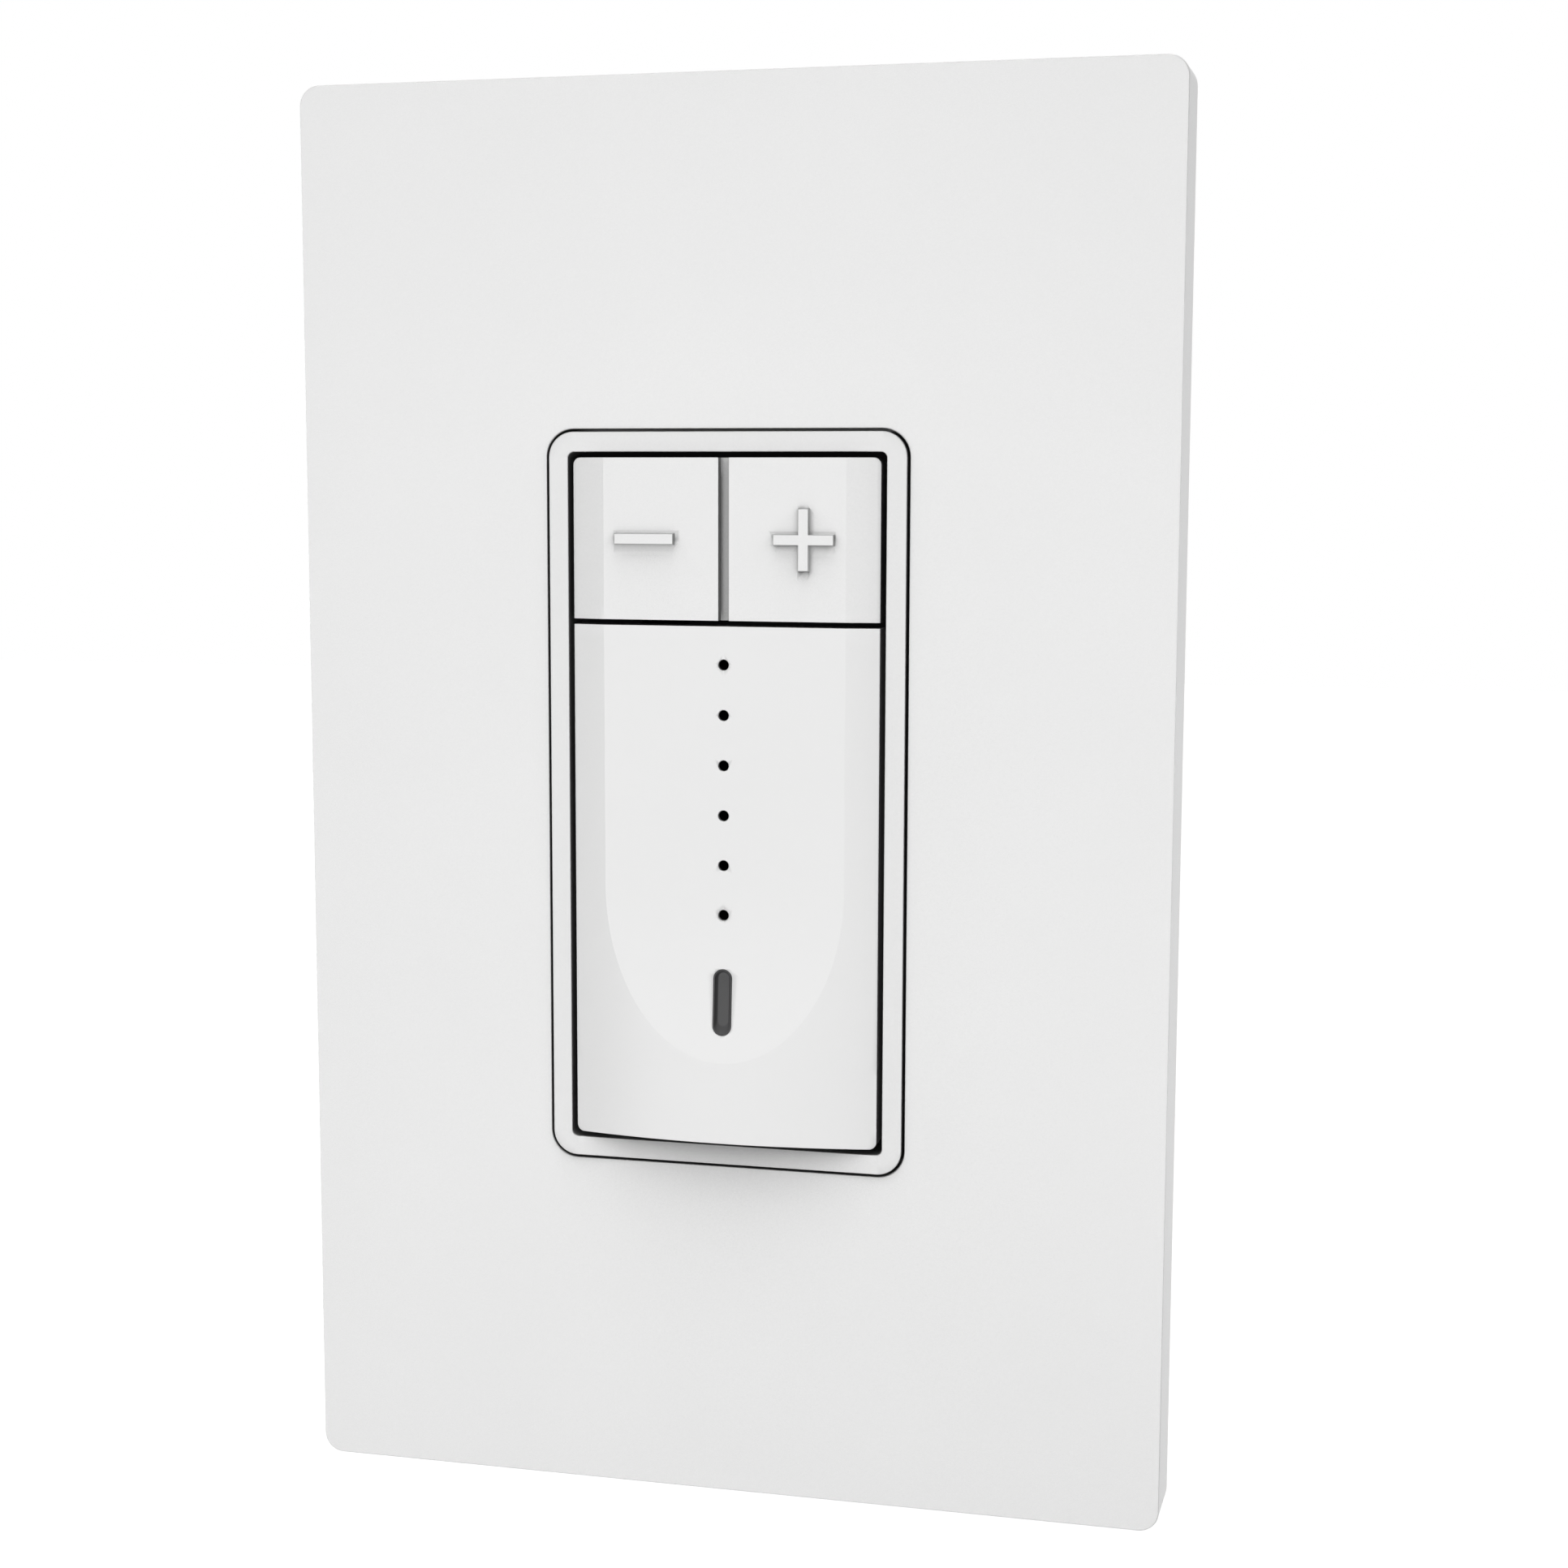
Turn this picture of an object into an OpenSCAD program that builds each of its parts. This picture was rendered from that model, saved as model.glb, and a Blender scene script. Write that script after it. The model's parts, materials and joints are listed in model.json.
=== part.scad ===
// Tap dimmer in a one-gang screwless wall plate.
// Millimetres. X is to the right seen from the front, Y points into the wall, Z is up.
// The origin is the device's centre on the wall plane, so the front lies at negative Y.

/* [Wall plate] */
// Width of the plate's front face
plate_w = 79.9; // [76:0.1:90]
// Height of the plate's front face
plate_h = 128.5; // [122:0.1:140]
// How far the front face stands off the wall
plate_depth = 6.4; // [6.2:0.1:8]
// Thickness of the plate's walls
plate_wall = 1.8; // [1.4:0.1:2]
// Corner radius of the front face
plate_corner_r = 1.8; // [1:0.1:4]
// How much each side widens from the front face to the wall
plate_draft = 0.2; // [0.1:0.05:0.5]
// Corner radius inside the plate
plate_inner_r = 0.8; // [0.4:0.1:2]
// Width of the opening for the device
opening_w = 33.2; // [32:0.1:34.5]
// Height of the opening for the device
opening_h = 66.8; // [65:0.1:68]
// Corner radius of the opening
opening_r = 2.5; // [1.5:0.1:4]
// Radius of the posts that seat the plate on its carrier
plate_post_r = 2; // [1.5:0.1:3]
// Distance of the posts from the middle, across
plate_post_x = 28; // [25:0.5:31]
// Distance of the posts from the middle, up and down
plate_post_z = 45; // [40:0.5:52]
// Length of each snap hook
hook_l = 8; // [4:0.5:14]
// Thickness of each snap hook
hook_t = 0.9; // [0.6:0.1:1]
// How far a hook catches behind the carrier
hook_catch = 0.45; // [0.3:0.05:0.8]
// Distance of the hooks from the middle
hook_x = 20; // [12:0.5:28]

/* [Plate carrier] */
// Thickness of the carrier plate under the cover
subplate_t = 1.4; // [1:0.1:1.6]
// Corner radius of the carrier plate
subplate_r = 2; // [1:0.1:4]
// Gap around the carrier inside the cover
subplate_gap = 0.5; // [0.3:0.05:0.8]
// Thickness of the carrier's rim on the wall
rim_t = 1.2; // [1:0.1:2]
// Gap between that rim and the strap inside it
rim_gap = 0.6; // [0.3:0.1:2]

/* [Strap] */
// Width of the metal strap
strap_w = 46; // [45:0.5:50]
// Distance from the plate screws to the strap's ends
strap_end = 4.6; // [3:0.1:6]
// Thickness of the metal strap
strap_t = 1.5; // [1.2:0.1:1.7]
// Corner radius of the strap
strap_r = 3; // [1:0.5:6]
// How much wider the strap's window is than the control board, each side
window_side = 0.2; // [0:0.05:0.3]
// How far the control board laps behind the strap, above and below the window
window_lap = 0.5; // [0.2:0.1:1]
// Corner radius of the window
window_r = 1; // [0.5:0.1:2]
// Spacing of the wall box screws
box_screw_pitch = 83.34; // [83:0.01:84]
// Distance from a box screw to the plate screw beyond it
screw_step = 6.73; // [6.5:0.01:7]
// Thread radius of the box and plate screws
box_screw_r = 1.75; // [1.65:0.05:1.9]
// Radius of those screws' plain necks in the strap
box_neck_r = 1.5; // [1.3:0.05:1.6]
// How far the box screws stand out behind the strap
box_screw_reach = 22; // [15:0.5:30]
// Length of the slots for the box screws
box_slot_l = 7; // [5:0.5:9]
// Head radius of the box screws
box_head_r = 3.4; // [3:0.1:3.8]
// Head height of the box screws
box_head_h = 2; // [1.4:0.1:2.4]
// Head radius of the plate screws
plate_head_r = 2.9; // [2.4:0.1:3.2]
// Head height of the plate screws
plate_head_h = 1; // [0.8:0.1:1.2]
// Where the earth screw sits, across
ground_x = 14; // [10:0.5:17]
// Distance from the housing's end to the earth screw's head
ground_gap = 1; // [0.6:0.1:2]
// Thread radius of the earth screw
ground_r = 1.75; // [1.5:0.05:2]
// Head radius of the earth screw, across its corners
ground_head_r = 3.3; // [2.8:0.1:3.6]
// Head height of the earth screw
ground_head_h = 2.6; // [2:0.1:3.5]

/* [Front frame] */
// Gap between the plate's opening and the frame
frame_gap = 0.22; // [0.15:0.01:0.4]
// Width of the frame's face
frame_rim = 1.8; // [1.6:0.05:2]
// How far the frame stands proud of the plate
frame_proud = 0.2; // [0:0.05:0.6]
// Inner corner radius of the frame
frame_inner_r = 0.55; // [0.3:0.05:1]
// How far the frame's foot stands out at the sides
foot_side = 5.12; // [5:0.01:5.6]
// How far the frame's foot stands out above and below
foot_end = 0.8; // [0.6:0.05:1.2]
// Thickness of the frame's foot
foot_t = 1.2; // [1:0.1:1.4]
// Corner radius of the frame's foot
foot_r = 2; // [1:0.1:4]
// Thread radius of the frame screws
frame_screw_r = 1.2; // [1:0.05:1.3]
// Head radius of the frame screws
frame_head_r = 2.3; // [1.9:0.1:2.4]
// Head height of the frame screws
frame_head_h = 1.2; // [0.8:0.1:1.4]
// Depth of the frame screws in the housing
frame_screw_grip = 9; // [6:0.5:11]

/* [Keys] */
// Gap around the keys inside the frame
key_gap = 0.5; // [0.4:0.05:0.7]
// Gap between the rocker and the paddle
split_gap = 0.5; // [0.4:0.05:0.8]
// Height of the rocker
rocker_h = 14.4; // [14:0.1:16]
// Corner radius of the keys
key_r = 0.65; // [0.3:0.05:1]
// Wall thickness of the keys' skirts
key_wall = 1.2; // [1:0.1:1.3]
// Thickness of the keys' faces at the flat
key_face_t = 1.6; // [1.4:0.1:1.8]
// Radius of the rounded face across the keys
face_r = 67.5; // [60:0.5:80]
// How far the crest of that face stands proud of the plate
face_crest = 1.62; // [1.4:0.02:2]
// How far the scooped flat stands proud of the plate
flat_proud = 0.7; // [0.5:0.05:0.9]
// Distance from the paddle's bottom to where the scoop starts to run out
scoop_rise = 23.38; // [20:0.02:26]
// Radius of the scoop's run-out
scoop_r = 139; // [100:1:180]
// Width of the groove between the rocker's halves
groove_w = 0.97; // [0.6:0.01:1.4]
// Depth of that groove
groove_d = 0.8; // [0.4:0.05:1]
// Length of the bars of the minus and plus
glyph_l = 5.55; // [4:0.05:7]
// Width of those bars
glyph_w = 1.05; // [0.7:0.05:1.5]
// How far they stand out of the flat
glyph_h = 0.35; // [0.2:0.05:0.5]
// Distance of the minus and plus from the middle
glyph_x = 7.3; // [6:0.1:8]
// Radius of the light holes
light_hole_r = 0.48; // [0.35:0.01:0.6]
// Number of light holes
light_count = 6; // [4:1:7]
// Distance from the slot's middle to the lowest light hole
light_rise = 7.925; // [7.5:0.005:9]
// Distance from the paddle's top to the top light hole
light_drop = 3.43; // [3.2:0.01:4]
// Width of the indicator slot
slot_w = 1.75; // [1.2:0.05:2.2]
// Length of the indicator slot
slot_l = 6.05; // [5:0.05:7]
// Distance from the paddle's bottom to the middle of the slot
slot_rise = 12.93; // [12:0.01:14]

/* [Key motion] */
// Angle that the paddle is pressed through
paddle_travel = 1.4; // [1:0.1:1.6]
// Angle that the rocker tilts through, each way
rocker_travel = 3; // [2:0.1:3.4]
// Radius of the pivot pins
pin_r = 0.65; // [0.5:0.05:0.8]
// Running clearance of the keys on their pins
pin_clear = 0.05; // [0.03:0.01:0.1]
// Wall of the carrier's ears around a pin
ear_wall = 0.35; // [0.3:0.05:0.5]
// Wall of the keys' lugs around a pin
lug_wall = 0.5; // [0.4:0.05:0.7]
// Thickness of an ear along its pin
ear_t = 1.5; // [1.2:0.1:1.8]
// Thickness of a lug along its pin
lug_t = 1.7; // [1.4:0.1:2]
// Side gap between a lug and an ear
lug_gap = 0.2; // [0.15:0.05:0.4]
// Distance from the paddle's top to its pivot
paddle_pivot_drop = 2.6; // [2.5:0.1:2.8]
// Gap between the paddle's hinges and its side skirts
hinge_side = 1.58; // [1:0.02:2.5]
// Distance from the control board's side to a switch dome
dome_side = 0.5; // [0.3:0.1:1.5]
// Distance from the window's end to the rocker's domes
rocker_dome_end = 0.92; // [0.5:0.02:2]
// Distance from the window's end to the paddle's domes
paddle_dome_end = 2.62; // [2:0.02:4]
// Base radius of a switch dome
dome_r = 2.4; // [2:0.1:2.6]
// Top radius of a switch dome
dome_top_r = 1.4; // [1:0.1:1.8]
// Height of a switch dome
dome_h = 2.2; // [1.8:0.1:2.6]
// Height of a dome's base ring
dome_base_h = 0.6; // [0.4:0.1:0.8]
// Height of a dome's straight crown
dome_crown_h = 0.4; // [0.2:0.1:0.6]
// Radius of the keys' push posts
post_r = 1.1; // [0.8:0.1:1.3]
// Gap between a push post and its dome
post_gap = 0.1; // [0.05:0.05:0.3]
// Width of the paddle's retaining hooks
latch_w = 2; // [1.5:0.1:2.5]
// Thickness of those hooks' legs
latch_t = 1.2; // [0.9:0.1:1.3]
// How far their barbs stand out
latch_barb = 0.8; // [0.5:0.1:1]
// Distance of those hooks from the middle
latch_x = 3.8; // [3:0.1:4.2]
// Distance from the window's end to the middle of those hooks
latch_end = 1.42; // [1:0.02:1.8]

/* [Key carrier] */
// Thickness of the carrier's plate
carrier_t = 1.2; // [1:0.1:1.4]
// How far the carrier is let into the frame
carrier_lip = 0.7; // [0.4:0.05:0.9]
// Gap around the carrier in its seat
carrier_gap = 0.1; // [0.05:0.05:0.2]
// Wall of the light tower around its tubes
tower_wall = 0.9; // [0.7:0.1:1.2]
// Radius of the light tubes
tube_r = 1; // [0.95:0.05:1.2]
// Radius of the board posts
board_post_r = 1.7; // [1.4:0.1:1.8]
// Distance from the control board's ends to its posts
board_post_end = 2.5; // [2.4:0.1:4]
// Gap around posts, lugs and hooks that pass the carrier
pass_gap = 0.4; // [0.25:0.05:0.6]

/* [Indicator lens] */
// How far the lens lies below the face
lens_sink = 0.45; // [0.2:0.05:0.7]
// Gap around the lens in its slot
lens_gap = 0.05; // [0.02:0.01:0.1]
// Width that the lens's flange adds on each side
lens_flange = 0.9; // [0.5:0.1:1.4]
// Thickness of the lens's flange
lens_flange_t = 0.7; // [0.5:0.1:1]

/* [Boards] */
// Thickness of the boards
board_t = 1.6; // [1.2:0.1:2]
// Distance from the strap's back to the control board
board_set = 1; // [0.8:0.1:1.6]
// Gap between the control board's ends and the housing
control_end = 1.7; // [1:0.1:2]
// Corner radius of the boards
board_r = 1; // [0.5:0.1:2]
// Thread radius of the board screws
board_screw_r = 0.75; // [0.6:0.05:0.9]
// Length of the board screws under the head
board_screw_l = 3.4; // [2.8:0.1:3.8]
// Head radius of the board screws
board_head_r = 1.5; // [1.2:0.1:1.7]
// Head height of the board screws
board_head_h = 1.1; // [0.8:0.1:1.4]
// Width of a light on the board
led_w = 1.5; // [1:0.1:1.6]
// Height of a light on the board
led_h = 0.9; // [0.6:0.1:1]
// Depth of a light on the board
led_d = 0.8; // [0.5:0.1:1]
// Width and height of the controller
chip_w = 9; // [6:0.5:12]
// Depth of the controller
chip_d = 1.6; // [1:0.1:2.4]
// Height of the middle of the controller
chip_z = -8; // [-14:0.5:-4]
// Room behind the power board in the housing
power_room = 16.6; // [16:0.1:17.5]
// Width of the board plug
plug_w = 13; // [10:0.5:15]
// Height of the board plug
plug_h = 2.6; // [2:0.1:3.5]
// Length of the plug's half on the control board
socket_l = 5.6; // [4:0.1:7]
// Height of the middle of the plug
plug_z = 6; // [3:0.5:9]
// Gap around the power board in the housing
power_gap = 0.6; // [0.4:0.1:1]

/* [Power parts] */
// Width of the triac
triac_w = 10; // [9:0.1:10.2]
// Length of the triac's body
triac_l = 9.2; // [8:0.1:10]
// Thickness of the triac's body
triac_t = 4.4; // [3.6:0.1:5]
// Length of the triac's tab past the body
tab_l = 6.4; // [5.6:0.1:7]
// Thickness of the triac's tab
tab_t = 1.3; // [1:0.1:1.5]
// Height of the triac's lower end
triac_z = 0.5; // [0:0.1:1.5]
// Gap between the strap's window and the triac
triac_gap = 0.5; // [0.3:0.05:0.8]
// Gap between the triac and the housing's side
triac_side = 0.3; // [0.25:0.05:0.5]
// Thickness of the insulating pad
pad_t = 0.3; // [0.2:0.05:0.5]
// How far the pad stands out round the tab
pad_margin = 0.2; // [0.1:0.05:0.25]
// Thread radius of the triac screw
triac_screw_r = 1.25; // [1:0.05:1.5]
// Head radius of the triac screw
triac_head_r = 2.4; // [2:0.1:2.8]
// Head height of the triac screw
triac_head_h = 1.8; // [1.2:0.1:2.2]
// Width of a triac leg
leg_w = 0.8; // [0.6:0.05:1]
// Thickness of a triac leg
leg_t = 0.6; // [0.4:0.05:0.8]
// Spacing of the triac legs
leg_pitch = 2.54; // [2.2:0.02:2.8]
// Length of the legs below the body
leg_drop = 2.5; // [2:0.1:3]
// Outer radius of the choke's core
core_r = 9.5; // [8:0.1:10.5]
// Inner radius of the choke's core
core_bore_r = 5; // [4:0.1:5.6]
// Height of the choke's core
core_h = 9; // [7:0.1:11]
// Thickness of the winding on the core
winding_t = 0.8; // [0.5:0.1:1.1]
// Width of the open sector of the winding
winding_gap = 3; // [2:0.1:5]
// Width of the film capacitor
film_w = 18; // [15:0.5:18.5]
// Height of the film capacitor
film_h = 8.6; // [7:0.1:9]
// Depth of the film capacitor
film_d = 13; // [10:0.5:15]
// Radius of the supply capacitor
supply_r = 4.6; // [4:0.1:5]
// Length of the supply capacitor
supply_l = 14; // [11:0.5:16]
// Gap between the two capacitors
cap_gap = 1; // [0.5:0.1:1.5]
// Gap between the film capacitor and the housing's lower end
cap_end = 3.9; // [3:0.1:4.6]
// Radius of the thermal fuse
fuse_r = 2.2; // [1.6:0.1:2.6]
// Length of the thermal fuse
fuse_l = 11; // [8:0.5:14]
// Half width of the fuse's square leads
lead_r = 0.45; // [0.3:0.05:0.6]
// Length of the fuse's leads past its ends
lead_l = 2; // [1.5:0.1:3]
// Distance from the housing's upper end to the fuse's middle
fuse_end = 12.2; // [9:0.1:14]

/* [Housing] */
// Width of the housing
housing_w = 46; // [45.5:0.1:48]
// Height of the housing
housing_h = 62; // [61:0.1:63]
// Depth of the housing behind the wall plane
housing_d = 32; // [31:0.5:38]
// Thickness of the housing's walls
housing_wall = 1.8; // [1.5:0.1:2]
// Corner radius of the housing
housing_r = 2; // [1:0.1:3]
// Half width of the corner blocks around the frame screws
block_r = 2.6; // [2.3:0.1:2.8]
// Depth of the corner blocks
block_d = 11; // [10:0.5:11.5]
// Width of the ledges that carry the power board
ledge_w = 4.6; // [4:0.1:5]
// Height of those ledges
ledge_h = 4.4; // [4:0.1:5]
// Distance from the housing's ends to the middle of the ledges
ledge_end = 9.7; // [9:0.1:10.5]

/* [Terminals] */
// Distance of the terminals from the middle
terminal_z = 8.5; // [7.5:0.1:9]
// Height of a terminal's bay
bay_h = 9.6; // [9:0.1:10.2]
// Depth of a bay into the side
bay_d = 6; // [5.6:0.1:6.4]
// Length of a bay along the housing's depth
bay_l = 12.4; // [11:0.1:13]
// Thickness of the bay's walls
bay_wall = 1.4; // [1:0.1:1.6]
// Thickness of the terminal and pressure plates
terminal_t = 1; // [0.8:0.1:1.2]
// Height of those plates
terminal_h = 8; // [7:0.1:8.4]
// Length of the terminal plate in its bay
terminal_l = 11; // [9:0.1:11.4]
// Length of the pressure plate
pressure_l = 8; // [7:0.1:9]
// Gap for the wire between the plates
wire_gap = 2.2; // [2:0.05:2.4]
// Radius of the wire holes
wire_hole_r = 1.15; // [1:0.05:1.25]
// Distance of a wire hole from its screw
wire_off = 3.1; // [3:0.05:3.2]
// Thread radius of the terminal screws
terminal_screw_r = 1.75; // [1.5:0.05:1.8]
// Head radius of the terminal screws
terminal_head_r = 3.3; // [2.8:0.1:3.6]
// Head height of the terminal screws
terminal_head_h = 1.5; // [1:0.1:1.7]
// Height of the tails that run to the power board
tail_h = 3; // [2:0.1:3.6]

/* [Fits] */
// Clearance of screws in their holes
screw_clear = 0.25; // [0.15:0.05:0.4]
// Clearance of threads in their pilot holes
thread_clear = 0.05; // [0.02:0.01:0.08]
// Clearance of slits and slots around strips
slit_clear = 0.1; // [0.05:0.05:0.2]
// Gap that is left at the end of a stroke
stop_gap = 0.1; // [0.05:0.05:0.3]
// Gap behind the keys' faces
shell_gap = 0.4; // [0.3:0.05:0.6]
// Width of the slots in the screw heads
drive_w = 0.9; // [0.6:0.1:1.2]
// Share of a head's height that its slot takes
drive_share = 0.5; // [0.3:0.05:0.6]

/* [Hidden] */
$fn = 48;
fine_fn = 720;
// How far a cut runs past the face that it opens
over = 1;
sides = [-1, 1];
hex_sides = 6;
scoop_steps = 24;

// Depths, from the wall forwards
plate_y = -plate_depth;
plate_inner_y = plate_y + plate_wall;
frame_y = plate_y - frame_proud;
flat_y = plate_y - flat_proud;
crest_y = plate_y - face_crest;
shell_y = flat_y + key_face_t;
strap_y = -strap_t;
subplate_y = strap_y - subplate_t;
carrier_y = strap_y - carrier_t;
foot_y = strap_y - foot_t;

// Depths behind the wall plane
control_y = board_set;
control_back_y = control_y + board_t;
housing_back_y = housing_d - housing_wall;
power_back_y = housing_back_y - power_room;
power_y = power_back_y - board_t;
dome_y = control_y - dome_h;
post_y = dome_y - post_gap;

// Housing, control board and the strap's window between them
housing_in_w = housing_w - 2 * housing_wall;
housing_in_h = housing_h - 2 * housing_wall;
window_w = housing_in_w - 2 * (triac_side + triac_w + triac_gap);
control_w = window_w - 2 * window_side;
control_h = housing_in_h - 2 * control_end;
window_h = control_h - 2 * window_lap;
plate_screw_pitch = box_screw_pitch + 2 * screw_step;
strap_h = plate_screw_pitch + 2 * strap_end;

// Plate and carrier
cavity_w = plate_w - 2 * plate_wall;
cavity_h = plate_h - 2 * plate_wall;
subplate_w = cavity_w - 2 * subplate_gap;
subplate_h = cavity_h - 2 * subplate_gap;
hook_reach = subplate_gap + hook_catch;
hook_y = strap_y + slit_clear;

// Frame and keys
frame_w = opening_w - 2 * frame_gap;
frame_h = opening_h - 2 * frame_gap;
frame_r = opening_r - frame_gap;
frame_in_w = frame_w - 2 * frame_rim;
frame_in_h = frame_h - 2 * frame_rim;
foot_w = frame_w + 2 * foot_side;
foot_h = frame_h + 2 * foot_end;
subplate_open_w = foot_w + 2 * subplate_gap;
subplate_open_h = foot_h + 2 * subplate_gap;
frame_screw_x = (frame_w + foot_w) / 4;
frame_screw_z = housing_h / 2 - housing_wall - block_r + frame_screw_r / 2;
key_w = frame_in_w - 2 * key_gap;
rocker_top = frame_in_h / 2 - key_gap;
rocker_bottom = rocker_top - rocker_h;
rocker_mid = rocker_top - rocker_h / 2;
paddle_top = rocker_bottom - split_gap;
paddle_bottom = -rocker_top;
scoop_z = paddle_bottom + scoop_rise;
slot_z = paddle_bottom + slot_rise;
light_top_z = paddle_top - light_drop;
light_pitch = (light_top_z - slot_z - light_rise) / (light_count - 1);
light_z = [for (i = [0 : light_count - 1]) light_top_z - i * light_pitch];

// Pivots
ear_r = pin_r + ear_wall;
lug_r = pin_r + pin_clear + lug_wall;
pin_y = shell_y + shell_gap + ear_r;
paddle_pin_z = paddle_top - paddle_pivot_drop;
hinge_l = 2 * ear_t + lug_t + 2 * lug_gap;
paddle_hinge_x = key_w / 2 - key_wall - hinge_side - hinge_l;
paddle_lug_x = paddle_hinge_x + ear_t + lug_gap;
lug_path_r = lug_r + pass_gap;
rocker_ear_z = [rocker_bottom + key_wall + lug_gap, rocker_top - key_wall - lug_gap];
rocker_lug_z = [rocker_ear_z[0] + ear_t + lug_gap, rocker_ear_z[1] - ear_t - lug_gap - lug_t];
paddle_skirt_y = carrier_y - stop_gap - (paddle_pin_z - paddle_bottom) * sin(paddle_travel);
rocker_skirt_y = carrier_y - stop_gap - key_w / 2 * sin(rocker_travel);
tower_low_z = light_z[light_count - 1] - tube_r - tower_wall;
tower_top_z = light_z[0] + tube_r + tower_wall;
tower_y = shell_y + stop_gap + (paddle_pin_z - tower_low_z) * sin(paddle_travel);
dome_x = control_w / 2 - dome_side - dome_r;
rocker_dome_z = window_h / 2 - rocker_dome_end - dome_r;
paddle_dome_z = paddle_dome_end + dome_r - window_h / 2;
latch_z = latch_end - window_h / 2;
latch_y = strap_y + stop_gap;
carrier_w = frame_in_w + 2 * carrier_lip;
carrier_h = frame_in_h + 2 * carrier_lip;
board_post_z = control_h / 2 - board_post_end;
lens_y = flat_y + lens_sink - scoop_lift(slot_z + slot_l / 2);

// Housing and what it holds
ground_z = -(housing_h / 2 + ground_gap + ground_head_r);
ledge_x = housing_in_w / 2 - ledge_w / 2;
ledge_z = housing_in_h / 2 - ledge_end;
bay_floor_x = housing_w / 2 - bay_d;
bay_back_y = housing_back_y;
bay_y = bay_back_y - bay_l;
terminal_y = (bay_y + bay_back_y) / 2;
wire_x = bay_floor_x + terminal_t + wire_gap / 2;
pressure_x = bay_floor_x + terminal_t + wire_gap;
triac_x = housing_in_w / 2 - triac_side - triac_w / 2;
tab_z = triac_z + triac_l;
tab_hole_z = tab_z + tab_l / 2;
triac_y = pad_t;
leg_y = triac_y + triac_t / 2;
leg_z = triac_z - leg_drop;
core_y = power_back_y + winding_t;
// The two capacitors are centred as a pair
film_x = -cap_gap / 2 - supply_r;
supply_x = film_x + film_w / 2 + cap_gap + supply_r;
cap_z = cap_end + film_h / 2 - housing_in_h / 2;
fuse_y = power_back_y + fuse_r + slit_clear;
fuse_z = housing_in_h / 2 - fuse_end;

// Colours
white_shell = [0.90, 0.90, 0.89];
dark_shell = [0.10, 0.10, 0.11];
smoke = [0.20, 0.20, 0.21];
board_green = [0.10, 0.32, 0.18];
bright_metal = [0.78, 0.79, 0.80];
brass = [0.80, 0.65, 0.32];

// How far the scoop has run out towards the front at height z
function scoop_lift(z) =
    z >= scoop_z ? 0 : scoop_r - sqrt(pow(scoop_r, 2) - pow(scoop_z - z, 2));

// Height at which the run-out reaches the crest of the face
function scoop_end_z() = scoop_z - sqrt(pow(scoop_r, 2) - pow(scoop_r - (flat_y - crest_y) - over, 2));

// A flat shape drawn in X and Z, from depth y0 back to depth y1
module slab(y0, y1) {
    translate([0, y1, 0])
        rotate([90, 0, 0])
            linear_extrude(y1 - y0)
                children();
}

// A flat shape drawn in Y and Z, from x0 to x1
module bar(x0, x1) {
    translate([x0, 0, 0])
        rotate([90, 0, 90])
            linear_extrude(x1 - x0)
                children();
}

// A round rod along Y
module rod_y(r, y0, y1) {
    translate([0, y0, 0])
        rotate([-90, 0, 0])
            cylinder(r = r, h = y1 - y0);
}

// A round rod along X
module rod_x(r, x0, x1) {
    translate([x0, 0, 0])
        rotate([0, 90, 0])
            cylinder(r = r, h = x1 - x0);
}

// A box given by its two corners
module block(low, high) {
    translate(low)
        cube(high - low);
}

module rounded(w, h, r) {
    square([w - 2 * r, h], center = true);
    square([w, h - 2 * r], center = true);
    for (sx = sides, sz = sides)
        translate([sx * (w / 2 - r), sz * (h / 2 - r)])
            circle(r);
}

// A slot with round ends, w across and l long along Z
module pill(w, l) {
    square([w, l - w], center = true);
    for (sz = sides)
        translate([0, sz * (l - w) / 2])
            circle(w / 2);
}

// A screw along Y whose head lies in front of depth y
module front_screw(r, l, head_r, head_h, y) {
    difference() {
        union() {
            rod_y(head_r, y - head_h, y);
            rod_y(r, y - head_h / 2, y + l);
        }
        block([-head_r - over, y - head_h - over, -drive_w / 2],
              [head_r + over, y - head_h + head_h * drive_share, drive_w / 2]);
    }
}

// A screw along Y whose head lies behind depth y
module back_screw(r, l, head_r, head_h, y) {
    translate([0, y, 0])
        mirror([0, 1, 0])
            front_screw(r, l, head_r, head_h, 0);
}

module four(x, z) {
    for (sx = sides, sz = sides)
        translate([sx * x, 0, sz * z])
            children();
}

module upper_and_lower(z) {
    for (sz = sides)
        translate([0, 0, sz * z])
            children();
}

// Wall plate: a shallow cover with drafted sides
module plate_body() {
    corner_x = plate_w / 2 - plate_corner_r;
    corner_z = plate_h / 2 - plate_corner_r;
    half_w = plate_w / 2;
    half_h = plate_h / 2;
    translate([0, 0, -corner_z])
        linear_extrude(2 * corner_z)
            polygon([[-half_w, plate_y], [half_w, plate_y],
                     [half_w + plate_draft, 0], [-half_w - plate_draft, 0]]);
    bar(-corner_x, corner_x)
        polygon([[plate_y, -half_h], [plate_y, half_h],
                 [0, half_h + plate_draft], [0, -half_h - plate_draft]]);
    four(corner_x, corner_z)
        translate([0, plate_y, 0])
            rotate([-90, 0, 0])
                cylinder(r1 = plate_corner_r, r2 = plate_corner_r + plate_draft, h = plate_depth);
}

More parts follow.
